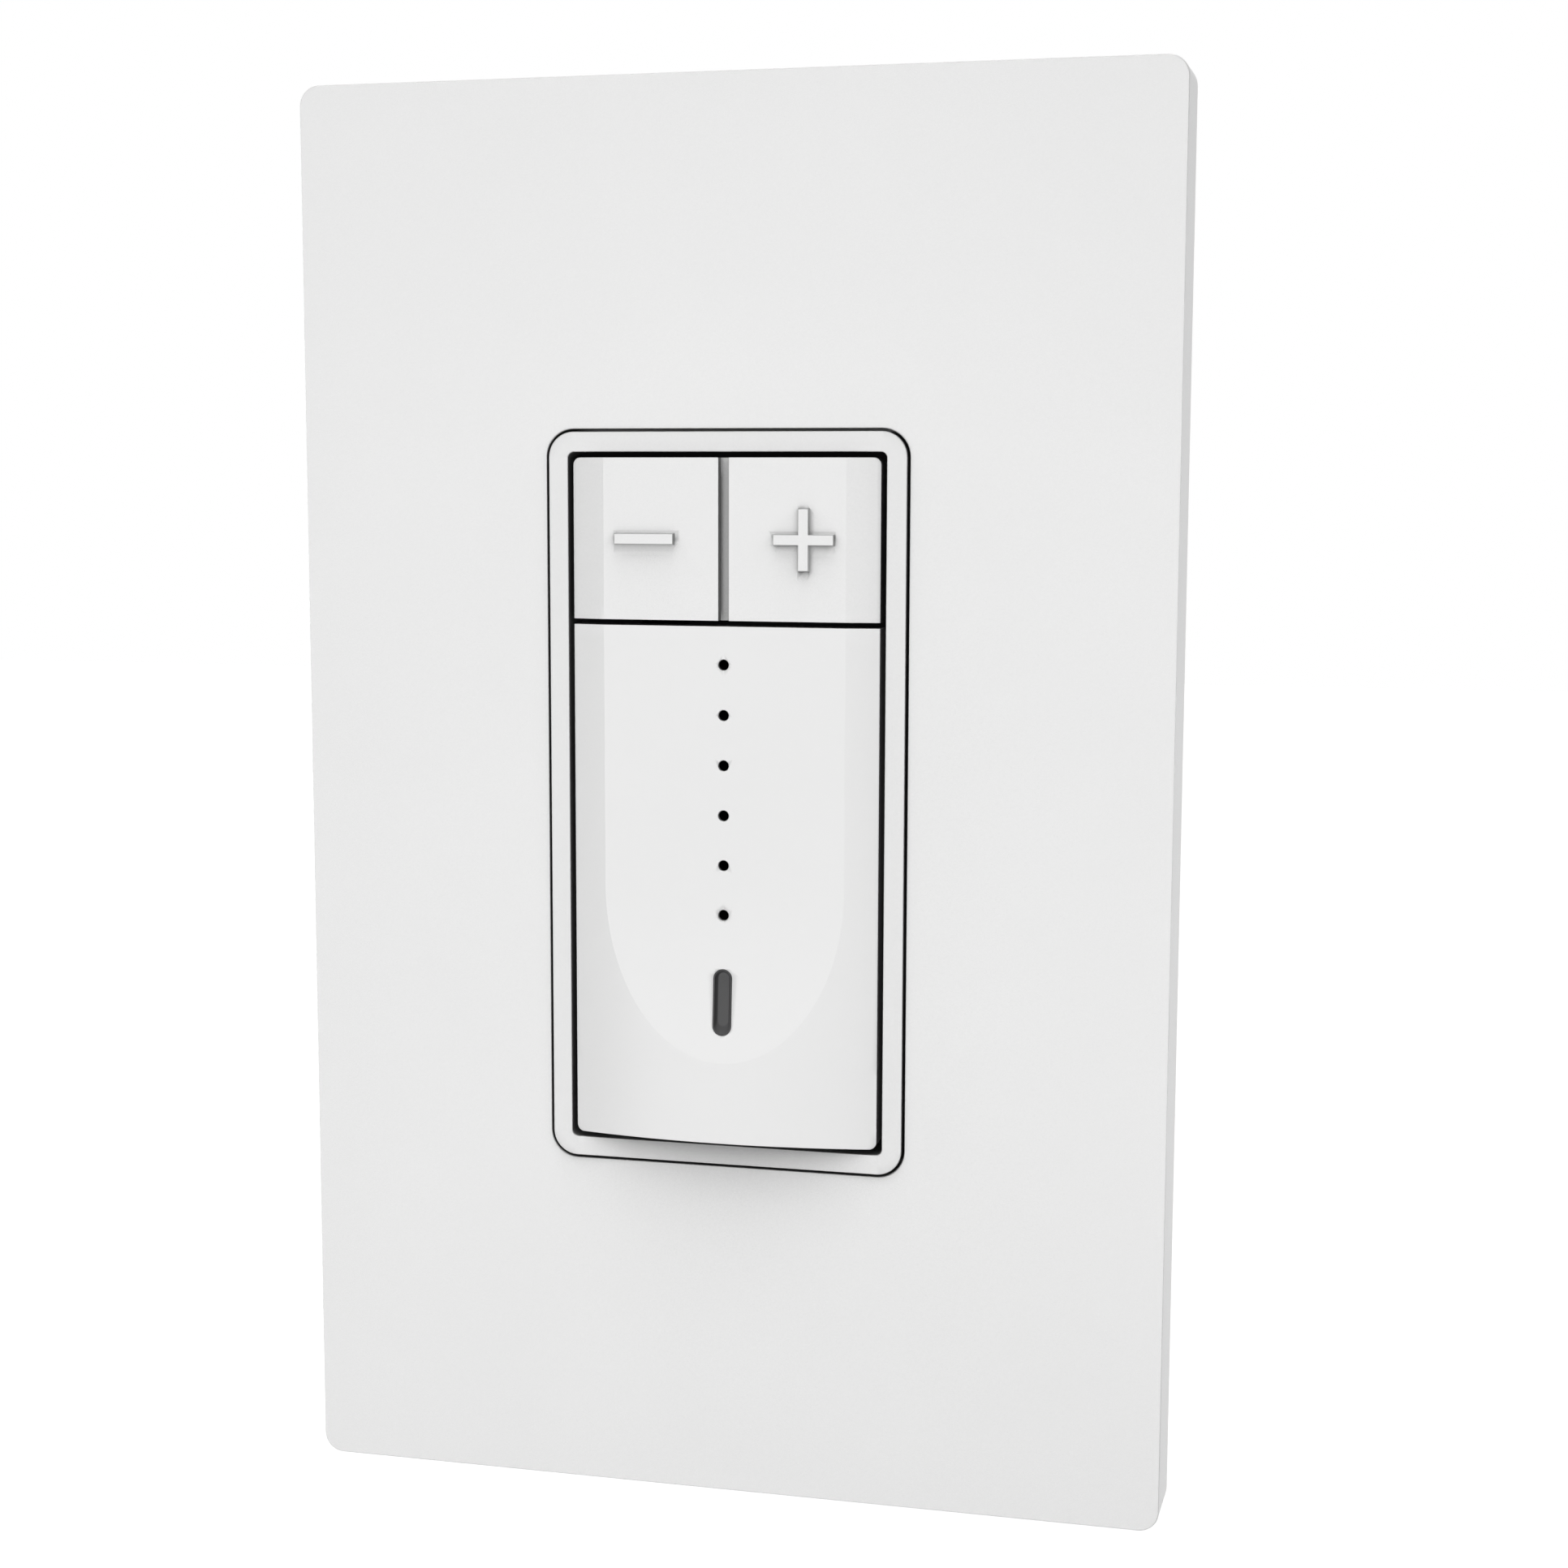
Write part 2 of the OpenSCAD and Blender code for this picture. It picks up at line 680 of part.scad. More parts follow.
module wall_plate() {
    color(white_shell) {
        difference() {
            plate_body();
            slab(plate_inner_y, over)
                rounded(cavity_w, cavity_h, plate_inner_r);
            slab(plate_y - over, plate_inner_y + over)
                rounded(opening_w, opening_h, opening_r);
        }
        four(plate_post_x, plate_post_z)
            rod_y(plate_post_r, plate_inner_y - plate_wall / 2, subplate_y);
        for (sx = sides, sz = sides)
            mirror([0, 0, sz < 0 ? 1 : 0])
                translate([sx * hook_x, 0, 0])
                    block([-hook_l / 2, hook_y, cavity_h / 2 - hook_reach],
                          [hook_l / 2, hook_y + hook_t, cavity_h / 2 + plate_wall / 2]);
    }
}

module mounting_subplate() {
    rim_in_w = strap_w + 2 * rim_gap;
    rim_in_h = strap_h + 2 * rim_gap;
    color(white_shell)
        difference() {
            union() {
                slab(subplate_y, strap_y)
                    rounded(subplate_w, subplate_h, subplate_r);
                slab(strap_y - subplate_t / 2, 0)
                    rounded(rim_in_w + 2 * rim_t, rim_in_h + 2 * rim_t, subplate_r + rim_t);
            }
            slab(strap_y, over)
                rounded(rim_in_w, rim_in_h, subplate_r);
            slab(subplate_y - over, over)
                rounded(subplate_open_w, subplate_open_h, foot_r);
            upper_and_lower(plate_screw_pitch / 2)
                rod_y(box_screw_r + screw_clear, subplate_y - over, over);
            upper_and_lower(box_screw_pitch / 2)
                rod_y(box_head_r + subplate_gap, subplate_y - over, over);
        }
}

module subplate_screws() {
    color(bright_metal)
        upper_and_lower(plate_screw_pitch / 2)
            front_screw(box_screw_r, subplate_t + strap_t, plate_head_r, plate_head_h, subplate_y);
}

module mounting_strap() {
    color(bright_metal)
        difference() {
            slab(strap_y, 0)
                rounded(strap_w, strap_h, strap_r);
            slab(strap_y - over, over)
                rounded(window_w, window_h, window_r);
            four(frame_screw_x, frame_screw_z)
                rod_y(frame_screw_r + screw_clear, strap_y - over, over);
            upper_and_lower(box_screw_pitch / 2)
                slab(strap_y - over, over)
                    rotate([0, 0, 90])
                        pill(2 * (box_screw_r + screw_clear), box_slot_l);
            upper_and_lower(plate_screw_pitch / 2)
                rod_y(box_screw_r + thread_clear, strap_y - over, over);
            translate([ground_x, 0, ground_z])
                rod_y(ground_r + thread_clear, strap_y - over, over);
            translate([triac_x, 0, tab_hole_z])
                rod_y(triac_screw_r + thread_clear, strap_y - over, over);
        }
}

module box_screws() {
    color(bright_metal)
        upper_and_lower(box_screw_pitch / 2) {
            front_screw(box_neck_r, strap_t + over, box_head_r, box_head_h, strap_y);
            rod_y(box_screw_r, 0, box_screw_reach);
        }
}

module ground_screw() {
    color([0.16, 0.45, 0.24])
        translate([ground_x, 0, ground_z])
            difference() {
                union() {
                    translate([0, ground_head_h, 0])
                        rotate([90, 0, 0])
                            cylinder(r = ground_head_r, h = ground_head_h, $fn = hex_sides);
                    rod_y(ground_r, strap_y, ground_head_h / 2);
                }
                block([-ground_head_r - over, ground_head_h - ground_head_h * drive_share, -drive_w / 2],
                      [ground_head_r + over, ground_head_h + over, drive_w / 2]);
            }
}

module front_frame() {
    color(white_shell)
        difference() {
            union() {
                slab(frame_y, strap_y)
                    rounded(frame_w, frame_h, frame_r);
                slab(foot_y, strap_y)
                    rounded(foot_w, foot_h, foot_r);
            }
            slab(frame_y - over, strap_y + over)
                rounded(frame_in_w, frame_in_h, frame_inner_r);
            slab(carrier_y, strap_y + over)
                rounded(carrier_w + 2 * carrier_gap, carrier_h + 2 * carrier_gap, frame_inner_r);
            four(frame_screw_x, frame_screw_z)
                rod_y(frame_screw_r + screw_clear, foot_y - over, strap_y + over);
        }
}

module frame_screws() {
    color(bright_metal)
        four(frame_screw_x, frame_screw_z)
            front_screw(frame_screw_r, foot_t + strap_t + frame_screw_grip,
                        frame_head_r, frame_head_h, foot_y);
}

// One ear of the paddle's hinges, between x0 and x1, standing on the carrier's plate
module paddle_ear(x0, x1) {
    translate([0, 0, paddle_pin_z]) {
        block([x0, pin_y, -ear_r], [x1, carrier_y + carrier_t / 2, ear_r]);
        translate([0, pin_y, 0])
            rod_x(ear_r, x0, x1);
    }
}

// One ear of the rocker's hinge, between z0 and z1, standing on the carrier's plate
module rocker_ear(z0, z1) {
    block([-ear_r, pin_y, z0], [ear_r, carrier_y + carrier_t / 2, z1]);
    translate([0, pin_y, z0])
        cylinder(r = ear_r, h = z1 - z0);
}

module push_holes(z) {
    for (sx = sides)
        translate([sx * dome_x, 0, z])
            rod_y(post_r + pass_gap, carrier_y - over, strap_y + over);
}

module key_carrier() {
    outer_ear = paddle_hinge_x + hinge_l - ear_t;
    color(dark_shell)
        difference() {
            union() {
                slab(carrier_y, strap_y)
                    rounded(carrier_w, carrier_h, frame_inner_r);
                block([-tube_r - tower_wall, tower_y, tower_low_z],
                      [tube_r + tower_wall, control_y, tower_top_z]);
                upper_and_lower(board_post_z)
                    rod_y(board_post_r, strap_y - carrier_t / 2, control_y);
                for (side = sides)
                    mirror([side < 0 ? 1 : 0, 0, 0]) {
                        paddle_ear(paddle_hinge_x, paddle_hinge_x + ear_t);
                        paddle_ear(outer_ear, outer_ear + ear_t);
                    }
                rocker_ear(rocker_ear_z[0], rocker_ear_z[0] + ear_t);
                rocker_ear(rocker_ear_z[1] - ear_t, rocker_ear_z[1]);
            }
            translate([0, pin_y, paddle_pin_z])
                rod_x(pin_r + thread_clear / 2, -key_w, key_w);
            translate([0, pin_y, rocker_bottom])
                cylinder(r = pin_r + thread_clear / 2, h = rocker_h);
            for (side = sides)
                mirror([side < 0 ? 1 : 0, 0, 0])
                    translate([paddle_lug_x, pin_y, paddle_pin_z])
                        rod_x(lug_path_r, -lug_gap / 2, lug_t + lug_gap / 2);
            for (z = rocker_lug_z)
                translate([0, pin_y, z - lug_gap / 2])
                    cylinder(r = lug_path_r, h = lug_t + lug_gap);
            for (z = light_z)
                translate([0, 0, z])
                    rod_y(tube_r, tower_y - over, control_y + over);
            push_holes(rocker_dome_z);
            push_holes(paddle_dome_z);
            translate([0, 0, slot_z])
                slab(carrier_y - over, strap_y + over)
                    pill(slot_w + 2 * lens_flange, slot_l + 2 * lens_flange);
            for (sx = sides)
                translate([sx * latch_x, 0, latch_z])
                    block([-latch_w / 2 - pass_gap / 2, carrier_y - over, -latch_t / 2 - pass_gap / 2],
                          [latch_w / 2 + pass_gap / 2, strap_y + over, latch_t / 2 + pass_gap / 2]);
            upper_and_lower(board_post_z)
                rod_y(board_screw_r + thread_clear,
                      control_back_y - board_screw_l - slit_clear, control_y + over);
        }
}

// The rounded face that both keys share, as a tall drum
module face_drum() {
    translate([0, crest_y + face_r, -plate_h / 2])
        cylinder(r = face_r, h = plate_h, $fn = fine_fn);
}

// A key's outline about its middle, square at the end that meets the other key
module key_outline(h, square_end) {
    rounded(key_w, h, key_r);
    translate([0, square_end * h / 4])
        square([key_w, h / 2], center = true);
}

// A hollow key between two heights, with its back open; square_end is 1 for its top, -1 for its bottom
module key_shell(low, high, skirt_y, square_end) {
    mid = (low + high) / 2;
    difference() {
        intersection() {
            translate([0, 0, mid])
                slab(crest_y - over, skirt_y)
                    key_outline(high - low, square_end);
            face_drum();
        }
        translate([0, 0, mid])
            slab(shell_y, skirt_y + over)
                square([key_w - 2 * key_wall, high - low - 2 * key_wall], center = true);
    }
}

// What the scoop takes away, drawn in Y and Z: the flat, then the run-out to the crest
module scoop_profile(top) {
    end_z = scoop_end_z();
    step = (scoop_z - end_z) / scoop_steps;
    run_out = [for (i = [0 : scoop_steps]) [flat_y - scoop_lift(scoop_z - i * step), scoop_z - i * step]];
    polygon(concat([[crest_y - over, top], [flat_y, top]], run_out));
}

module paddle_lug(x0, x1) {
    translate([0, 0, paddle_pin_z]) {
        block([x0, shell_y - key_face_t / 2, -lug_r], [x1, pin_y, lug_r]);
        translate([0, pin_y, 0])
            rod_x(lug_r, x0, x1);
    }
}

module rocker_lug(z0, z1) {
    block([-lug_r, shell_y - key_face_t / 4, z0], [lug_r, pin_y, z1]);
    translate([0, pin_y, z0])
        cylinder(r = lug_r, h = z1 - z0);
}

module push_posts(z) {
    for (sx = sides)
        translate([sx * dome_x, 0, z])
            rod_y(post_r, shell_y - key_face_t / 4, post_y);
}

module tap_paddle() {
    color(white_shell)
        difference() {
            union() {
                difference() {
                    key_shell(paddle_bottom, paddle_top, paddle_skirt_y, 1);
                    bar(-key_w, key_w)
                        scoop_profile(paddle_top + over);
                }
                for (side = sides)
                    mirror([side < 0 ? 1 : 0, 0, 0])
                        paddle_lug(paddle_lug_x, paddle_lug_x + lug_t);
                push_posts(paddle_dome_z);
                for (sx = sides)
                    translate([sx * latch_x, 0, latch_z]) {
                        block([-latch_w / 2, shell_y - key_face_t / 4, -latch_t / 2],
                              [latch_w / 2, latch_y + latch_barb, latch_t / 2]);
                        block([-latch_w / 2, latch_y, 0],
                              [latch_w / 2, latch_y + latch_barb, latch_t / 2 + latch_barb]);
                    }
            }
            translate([0, pin_y, paddle_pin_z])
                rod_x(pin_r + pin_clear, -key_w / 2 + key_wall, key_w / 2 - key_wall);
            for (z = light_z)
                translate([0, 0, z])
                    rod_y(light_hole_r, crest_y - over, shell_y + over);
            translate([0, 0, slot_z])
                slab(crest_y - over, shell_y + over)
                    pill(slot_w, slot_l);
        }
}

module indicator_lens() {
    color(smoke)
        translate([0, 0, slot_z]) {
            slab(lens_y, shell_y + lens_flange_t / 2)
                pill(slot_w - 2 * lens_gap, slot_l - 2 * lens_gap);
            slab(shell_y, shell_y + lens_flange_t)
                pill(slot_w + 2 * lens_flange, slot_l + 2 * lens_flange);
        }
}

module paddle_pivot_pins() {
    color(bright_metal)
        for (side = sides)
            mirror([side < 0 ? 1 : 0, 0, 0])
                translate([0, pin_y, paddle_pin_z])
                    rod_x(pin_r, paddle_hinge_x, paddle_hinge_x + hinge_l);
}

module dim_rocker() {
    color(white_shell)
        difference() {
            union() {
                difference() {
                    key_shell(rocker_bottom, rocker_top, rocker_skirt_y, -1);
                    block([-key_w, crest_y - over, rocker_bottom - over],
                          [key_w, flat_y, rocker_top + over]);
                }
                for (z = rocker_lug_z)
                    rocker_lug(z, z + lug_t);
                push_posts(rocker_dome_z);
                for (sx = sides)
                    translate([sx * glyph_x, 0, rocker_mid])
                        slab(flat_y - glyph_h, flat_y + key_face_t / 4)
                            square([glyph_l, glyph_w], center = true);
                translate([glyph_x, 0, rocker_mid])
                    slab(flat_y - glyph_h, flat_y + key_face_t / 4)
                        square([glyph_w, glyph_l], center = true);
            }
            block([-groove_w / 2, crest_y - over, rocker_bottom - over],
                  [groove_w / 2, flat_y + groove_d, rocker_top + over]);
            translate([0, pin_y, rocker_bottom + key_wall])
                cylinder(r = pin_r + pin_clear, h = rocker_h - 2 * key_wall);
        }
}

module rocker_pivot_pin() {
    color(bright_metal)
        translate([0, pin_y, rocker_ear_z[0]])
            cylinder(r = pin_r, h = rocker_ear_z[1] - rocker_ear_z[0]);
}

// Two rubber domes on the control board at height z
module dome_pair(z) {
    color([0.55, 0.56, 0.58])
        for (sx = sides)
            translate([sx * dome_x, control_y, z])
                rotate([90, 0, 0])
                    rotate_extrude()
                        polygon([[0, 0], [dome_r, 0], [dome_r, dome_base_h],
                                 [dome_top_r, dome_h - dome_crown_h], [dome_top_r, dome_h], [0, dome_h]]);
}

module rocker_domes() {
    dome_pair(rocker_dome_z);
}

module paddle_domes() {
    dome_pair(paddle_dome_z);
}

module control_board() {
    color(board_green)
        difference() {
            slab(control_y, control_back_y)
                rounded(control_w, control_h, board_r);
            upper_and_lower(board_post_z)
                rod_y(board_screw_r + screw_clear, control_y - over, control_back_y + over);
        }
}

module board_screws() {
    color(bright_metal)
        upper_and_lower(board_post_z)
            back_screw(board_screw_r, board_screw_l, board_head_r, board_head_h, control_back_y);
}

module board_led(z) {
    block([-led_w / 2, control_y - led_d, z - led_h / 2], [led_w / 2, control_y, z + led_h / 2]);
}

module level_leds() {
    color([0.93, 0.93, 0.86])
        for (z = light_z)
            board_led(z);
}

module locator_led() {
    color([0.93, 0.93, 0.86])
        board_led(slot_z);
}

module control_chip() {
    color(dark_shell)
        block([-chip_w / 2, control_back_y, chip_z - chip_w / 2],
              [chip_w / 2, control_back_y + chip_d, chip_z + chip_w / 2]);
}

module board_socket() {
    color(dark_shell)
        block([-plug_w / 2, control_back_y, plug_z - plug_h / 2],
              [plug_w / 2, control_back_y + socket_l, plug_z + plug_h / 2]);
}

module board_header() {
    color(dark_shell)
        block([-plug_w / 2, control_back_y + socket_l, plug_z - plug_h / 2],
              [plug_w / 2, power_y, plug_z + plug_h / 2]);
}

module power_board() {
    board_w = housing_in_w - 2 * power_gap;
    board_h = housing_in_h - 2 * power_gap;
    notch_x = frame_screw_x - block_r - power_gap;
    notch_z = frame_screw_z - block_r - power_gap;
    tail_half = tail_h / 2 + slit_clear;
    color(board_green)
        difference() {
            slab(power_y, power_back_y)
                rounded(board_w, board_h, board_r);
            for (sx = sides, sz = sides)
                mirror([sx < 0 ? 1 : 0, 0, 0])
                    mirror([0, 0, sz < 0 ? 1 : 0])
                        block([notch_x, power_y - over, notch_z], [board_w, power_back_y + over, board_h]);
            four(ledge_x, ledge_z)
                rod_y(board_screw_r + screw_clear, power_y - over, power_back_y + over);
            four(bay_floor_x + terminal_t / 2, terminal_z)
                block([-terminal_t / 2 - slit_clear, power_y - over, -tail_half],
                      [terminal_t / 2 + slit_clear, power_back_y + over, tail_half]);
            for (i = [-1 : 1])
                translate([triac_x + i * leg_pitch, 0, leg_z])
                    block([-leg_w / 2 - slit_clear, power_y - over, -leg_t / 2 - slit_clear],
                          [leg_w / 2 + slit_clear, power_back_y + over, leg_t / 2 + slit_clear]);
        }
}

module power_board_screws() {
    color(bright_metal)
        four(ledge_x, ledge_z)
            front_screw(board_screw_r, board_screw_l, board_head_r, board_head_h, power_y);
}

module triac_body() {
    color(dark_shell)
        difference() {
            block([triac_x - triac_w / 2, triac_y, triac_z],
                  [triac_x + triac_w / 2, triac_y + triac_t, tab_z]);
            block([triac_x - triac_w, triac_y - over, triac_z + tab_t],
                  [triac_x + triac_w, triac_y + tab_t, tab_z + over]);
            for (i = [-1 : 1])
                translate([triac_x + i * leg_pitch, leg_y, 0])
                    block([-leg_w / 2, -leg_t / 2, triac_z - over],
                          [leg_w / 2, leg_t / 2, triac_z + leg_drop]);
        }
}

module triac_tab() {
    color(bright_metal) {
        difference() {
            block([triac_x - triac_w / 2, triac_y, triac_z + tab_t],
                  [triac_x + triac_w / 2, triac_y + tab_t, tab_z + tab_l]);
            translate([triac_x, 0, tab_hole_z])
                rod_y(triac_screw_r + screw_clear, triac_y - over, triac_y + triac_t);
        }
        for (i = [-1 : 1])
            translate([triac_x + i * leg_pitch, 0, 0]) {
                block([-leg_w / 2, leg_y - leg_t / 2, leg_z - leg_t / 2],
                      [leg_w / 2, leg_y + leg_t / 2, triac_z + leg_drop]);
                block([-leg_w / 2, leg_y - leg_t / 2, leg_z - leg_t / 2],
                      [leg_w / 2, power_back_y, leg_z + leg_t / 2]);
            }
    }
}

module triac_insulator() {
    color([0.72, 0.74, 0.78])
        difference() {
            block([triac_x - triac_w / 2 - pad_margin, 0, triac_z],
                  [triac_x + triac_w / 2 + pad_margin, pad_t, tab_z + tab_l + pad_margin]);
            translate([triac_x, 0, tab_hole_z])
                rod_y(triac_screw_r + screw_clear, -over, pad_t + over);
        }
}

module triac_screw() {
    color(bright_metal)
        translate([triac_x, 0, tab_hole_z])
            back_screw(triac_screw_r, tab_t + pad_t + strap_t, triac_head_r, triac_head_h, triac_y + tab_t);
}

module choke_core() {
    color([0.30, 0.30, 0.32])
        difference() {
            rod_y(core_r, core_y, core_y + core_h);
            rod_y(core_bore_r, core_y - over, core_y + core_h + over);
        }
}

module choke_winding() {
    color([0.72, 0.40, 0.20])
        difference() {
            rod_y(core_r + winding_t, power_back_y, core_y + core_h + winding_t);
            rod_y(core_bore_r - winding_t, power_back_y - over, core_y + core_h + winding_t + over);
            difference() {
                rod_y(core_r, core_y, core_y + core_h);
                rod_y(core_bore_r, core_y - over, core_y + core_h + over);
            }
            block([0, power_back_y - over, -winding_gap / 2],
                  [core_r + winding_t + over, core_y + core_h + winding_t + over, winding_gap / 2]);
        }
}

module film_capacitor() {
    color([0.70, 0.20, 0.16])
        translate([film_x, 0, cap_z])
            slab(power_back_y, power_back_y + film_d)
                rounded(film_w, film_h, board_r);
}

module supply_capacitor() {
    color([0.16, 0.20, 0.42])
        translate([supply_x, 0, cap_z])
            rod_y(supply_r, power_back_y, power_back_y + supply_l);
}

module thermal_fuse() {
    lead_x = fuse_l / 2 + lead_l;
    color([0.80, 0.78, 0.70])
        translate([0, fuse_y, fuse_z]) {
            rod_x(fuse_r, -fuse_l / 2, fuse_l / 2);
            for (side = sides)
                mirror([side < 0 ? 1 : 0, 0, 0]) {
                    block([fuse_l / 2 - lead_l, -lead_r, -lead_r], [lead_x, lead_r, lead_r]);
                    block([lead_x - 2 * lead_r, power_back_y - fuse_y, -lead_r], [lead_x, lead_r, lead_r]);
                }
        }
}

// The walls of one terminal bay, on the right
module bay_walls() {
    block([bay_floor_x - bay_wall, bay_y - bay_wall, terminal_z - bay_h / 2 - bay_wall],
          [housing_w / 2 - housing_wall / 2, bay_back_y + housing_wall / 2,
           terminal_z + bay_h / 2 + bay_wall]);
}

// What one bay takes out of the walls: the bay, the tail's slit, the screw's hole and the wire's hole
module bay_cuts() {
    tail_half = tail_h / 2 + slit_clear;
    block([bay_floor_x, bay_y, terminal_z - bay_h / 2], [housing_w, bay_back_y, terminal_z + bay_h / 2]);
    block([bay_floor_x - slit_clear, bay_y - bay_wall - over, terminal_z - tail_half],
          [bay_floor_x + terminal_t + slit_clear, bay_y + over, terminal_z + tail_half]);
    translate([0, terminal_y, terminal_z])
        rod_x(terminal_screw_r + screw_clear, bay_floor_x - bay_wall - over, bay_floor_x + over);
    translate([wire_x, 0, terminal_z - wire_off])
        rod_y(wire_hole_r, bay_back_y - over, housing_d + over);
}

module each_terminal() {
    for (sx = sides, sz = sides)
        mirror([sx < 0 ? 1 : 0, 0, 0])
            mirror([0, 0, sz < 0 ? 1 : 0])
                children();
}

module rear_housing() {
    wall_x = housing_in_w / 2 + housing_wall / 2;
    wall_z = housing_in_h / 2 + housing_wall / 2;
    color(dark_shell)
        difference() {
            union() {
                difference() {
                    slab(0, housing_d)
                        rounded(housing_w, housing_h, housing_r);
                    slab(-over, housing_back_y)
                        square([housing_in_w, housing_in_h], center = true);
                }
                for (sx = sides, sz = sides)
                    mirror([sx < 0 ? 1 : 0, 0, 0])
                        mirror([0, 0, sz < 0 ? 1 : 0])
                            block([frame_screw_x - block_r, 0, frame_screw_z - block_r],
                                  [wall_x, block_d, wall_z]);
                four(ledge_x, ledge_z)
                    block([-ledge_w / 2, power_back_y, -ledge_h / 2],
                          [ledge_w / 2, housing_back_y + housing_wall / 2, ledge_h / 2]);
                each_terminal()
                    bay_walls();
            }
            each_terminal()
                bay_cuts();
            four(frame_screw_x, frame_screw_z)
                rod_y(frame_screw_r + thread_clear, -over, frame_screw_grip + slit_clear);
            four(ledge_x, ledge_z)
                rod_y(board_screw_r + thread_clear,
                      power_back_y - over, power_y + board_screw_l + slit_clear);
        }
}

module terminal_plates() {
    color(brass)
        each_terminal()
            difference() {
                union() {
                    block([bay_floor_x, terminal_y - terminal_l / 2, terminal_z - terminal_h / 2],
                          [bay_floor_x + terminal_t, terminal_y + terminal_l / 2,
                           terminal_z + terminal_h / 2]);
                    block([bay_floor_x, power_y, terminal_z - tail_h / 2],
                          [bay_floor_x + terminal_t, terminal_y, terminal_z + tail_h / 2]);
                }
                translate([0, terminal_y, terminal_z])
                    rod_x(terminal_screw_r + thread_clear,
                          bay_floor_x - over, bay_floor_x + terminal_t + over);
            }
}

module pressure_plates() {
    color(brass)
        each_terminal()
            difference() {
                block([pressure_x, terminal_y - pressure_l / 2, terminal_z - terminal_h / 2],
                      [pressure_x + terminal_t, terminal_y + pressure_l / 2, terminal_z + terminal_h / 2]);
                translate([0, terminal_y, terminal_z])
                    rod_x(terminal_screw_r + screw_clear,
                          pressure_x - over, pressure_x + terminal_t + over);
            }
}

module terminal_screws() {
    head_x = pressure_x + terminal_t;
    color(brass)
        each_terminal()
            translate([0, terminal_y, terminal_z])
                difference() {
                    union() {
                        rod_x(terminal_head_r, head_x, head_x + terminal_head_h);
                        rod_x(terminal_screw_r, bay_floor_x - bay_wall, head_x + terminal_head_h / 2);
                    }
                    block([head_x + terminal_head_h * (1 - drive_share),
                           -terminal_head_r - over, -drive_w / 2],
                          [head_x + terminal_head_h + over,
                           terminal_head_r + over, drive_w / 2]);
                }
}

wall_plate();
mounting_subplate();
subplate_screws();
mounting_strap();
box_screws();
ground_screw();
front_frame();
frame_screws();
key_carrier();
tap_paddle();
indicator_lens();
paddle_pivot_pins();
dim_rocker();
rocker_pivot_pin();
rocker_domes();
paddle_domes();
control_board();
board_screws();
level_leds();
locator_led();
control_chip();
board_socket();
board_header();
power_board();
power_board_screws();
triac_body();
triac_tab();
triac_insulator();
triac_screw();
choke_core();
choke_winding();
film_capacitor();
supply_capacitor();
thermal_fuse();
rear_housing();
terminal_plates();
pressure_plates();
terminal_screws();
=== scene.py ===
import json
import math

import bmesh
import bpy
from mathutils import Matrix, Vector


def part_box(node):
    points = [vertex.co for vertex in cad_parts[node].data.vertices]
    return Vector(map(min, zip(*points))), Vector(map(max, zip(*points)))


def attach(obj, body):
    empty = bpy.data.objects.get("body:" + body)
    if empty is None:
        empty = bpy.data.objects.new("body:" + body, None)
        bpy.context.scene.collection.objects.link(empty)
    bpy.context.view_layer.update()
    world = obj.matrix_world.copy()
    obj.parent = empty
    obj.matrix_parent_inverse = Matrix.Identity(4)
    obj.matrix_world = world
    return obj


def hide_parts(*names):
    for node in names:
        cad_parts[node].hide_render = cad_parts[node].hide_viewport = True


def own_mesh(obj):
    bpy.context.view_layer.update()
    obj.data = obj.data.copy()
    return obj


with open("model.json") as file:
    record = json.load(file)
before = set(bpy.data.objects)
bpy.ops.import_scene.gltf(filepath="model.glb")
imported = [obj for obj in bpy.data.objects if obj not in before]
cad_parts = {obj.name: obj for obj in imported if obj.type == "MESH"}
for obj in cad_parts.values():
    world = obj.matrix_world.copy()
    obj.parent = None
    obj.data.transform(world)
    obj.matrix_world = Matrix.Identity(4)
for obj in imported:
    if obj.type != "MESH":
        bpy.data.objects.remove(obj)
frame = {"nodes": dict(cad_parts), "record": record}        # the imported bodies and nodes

mm = 0.001
weld = 0.0005 * mm              # points closer than this are one
nodes = frame["nodes"]
scene = bpy.context.scene
scene.view_settings.view_transform = "Standard"
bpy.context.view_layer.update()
print("frame loaded with", len(nodes), "nodes")

# Camera, solved from the corners of the plate and of its opening
photoView = {
    "eye": (56.69 * mm, -220.11 * mm, 28.02 * mm),
    "aim": (5.41 * mm, -6.4 * mm, 1.98 * mm),
    "roll": 0.18,               # degrees
    "lens": 56.908,             # millimetres, as the square sensor's width is
    "sensor": 36,
    "clip": (0.01, 20),
}


def makeCamera(view):
    data = bpy.data.cameras.new("photoCamera")
    data.lens = view["lens"]
    data.sensor_width = view["sensor"]
    data.clip_start, data.clip_end = view["clip"]
    camera = bpy.data.objects.new("photoCamera", data)
    scene.collection.objects.link(camera)
    eye = Vector(view["eye"])
    turn = (Vector(view["aim"]) - eye).to_track_quat("-Z", "Y").to_matrix().to_4x4()
    camera.matrix_world = turn @ Matrix.Rotation(math.radians(view["roll"]), 4, "Z")
    camera.location = eye
    scene.camera = camera


makeCamera(photoView)

# Node helpers, for shader trees and geometry trees alike
number = "NodeSocketFloat"
geometry = "NodeSocketGeometry"
socketTypes = {float: number, int: "NodeSocketInt", tuple: "NodeSocketVector"}


def feed(tree, socket, value):      # a link, several links, or a plain value on the socket
    if isinstance(value, list):
        for item in value:
            tree.links.new(item, socket)
    elif isinstance(value, bpy.types.NodeSocket):
        tree.links.new(value, socket)
    else:
        socket.default_value = value


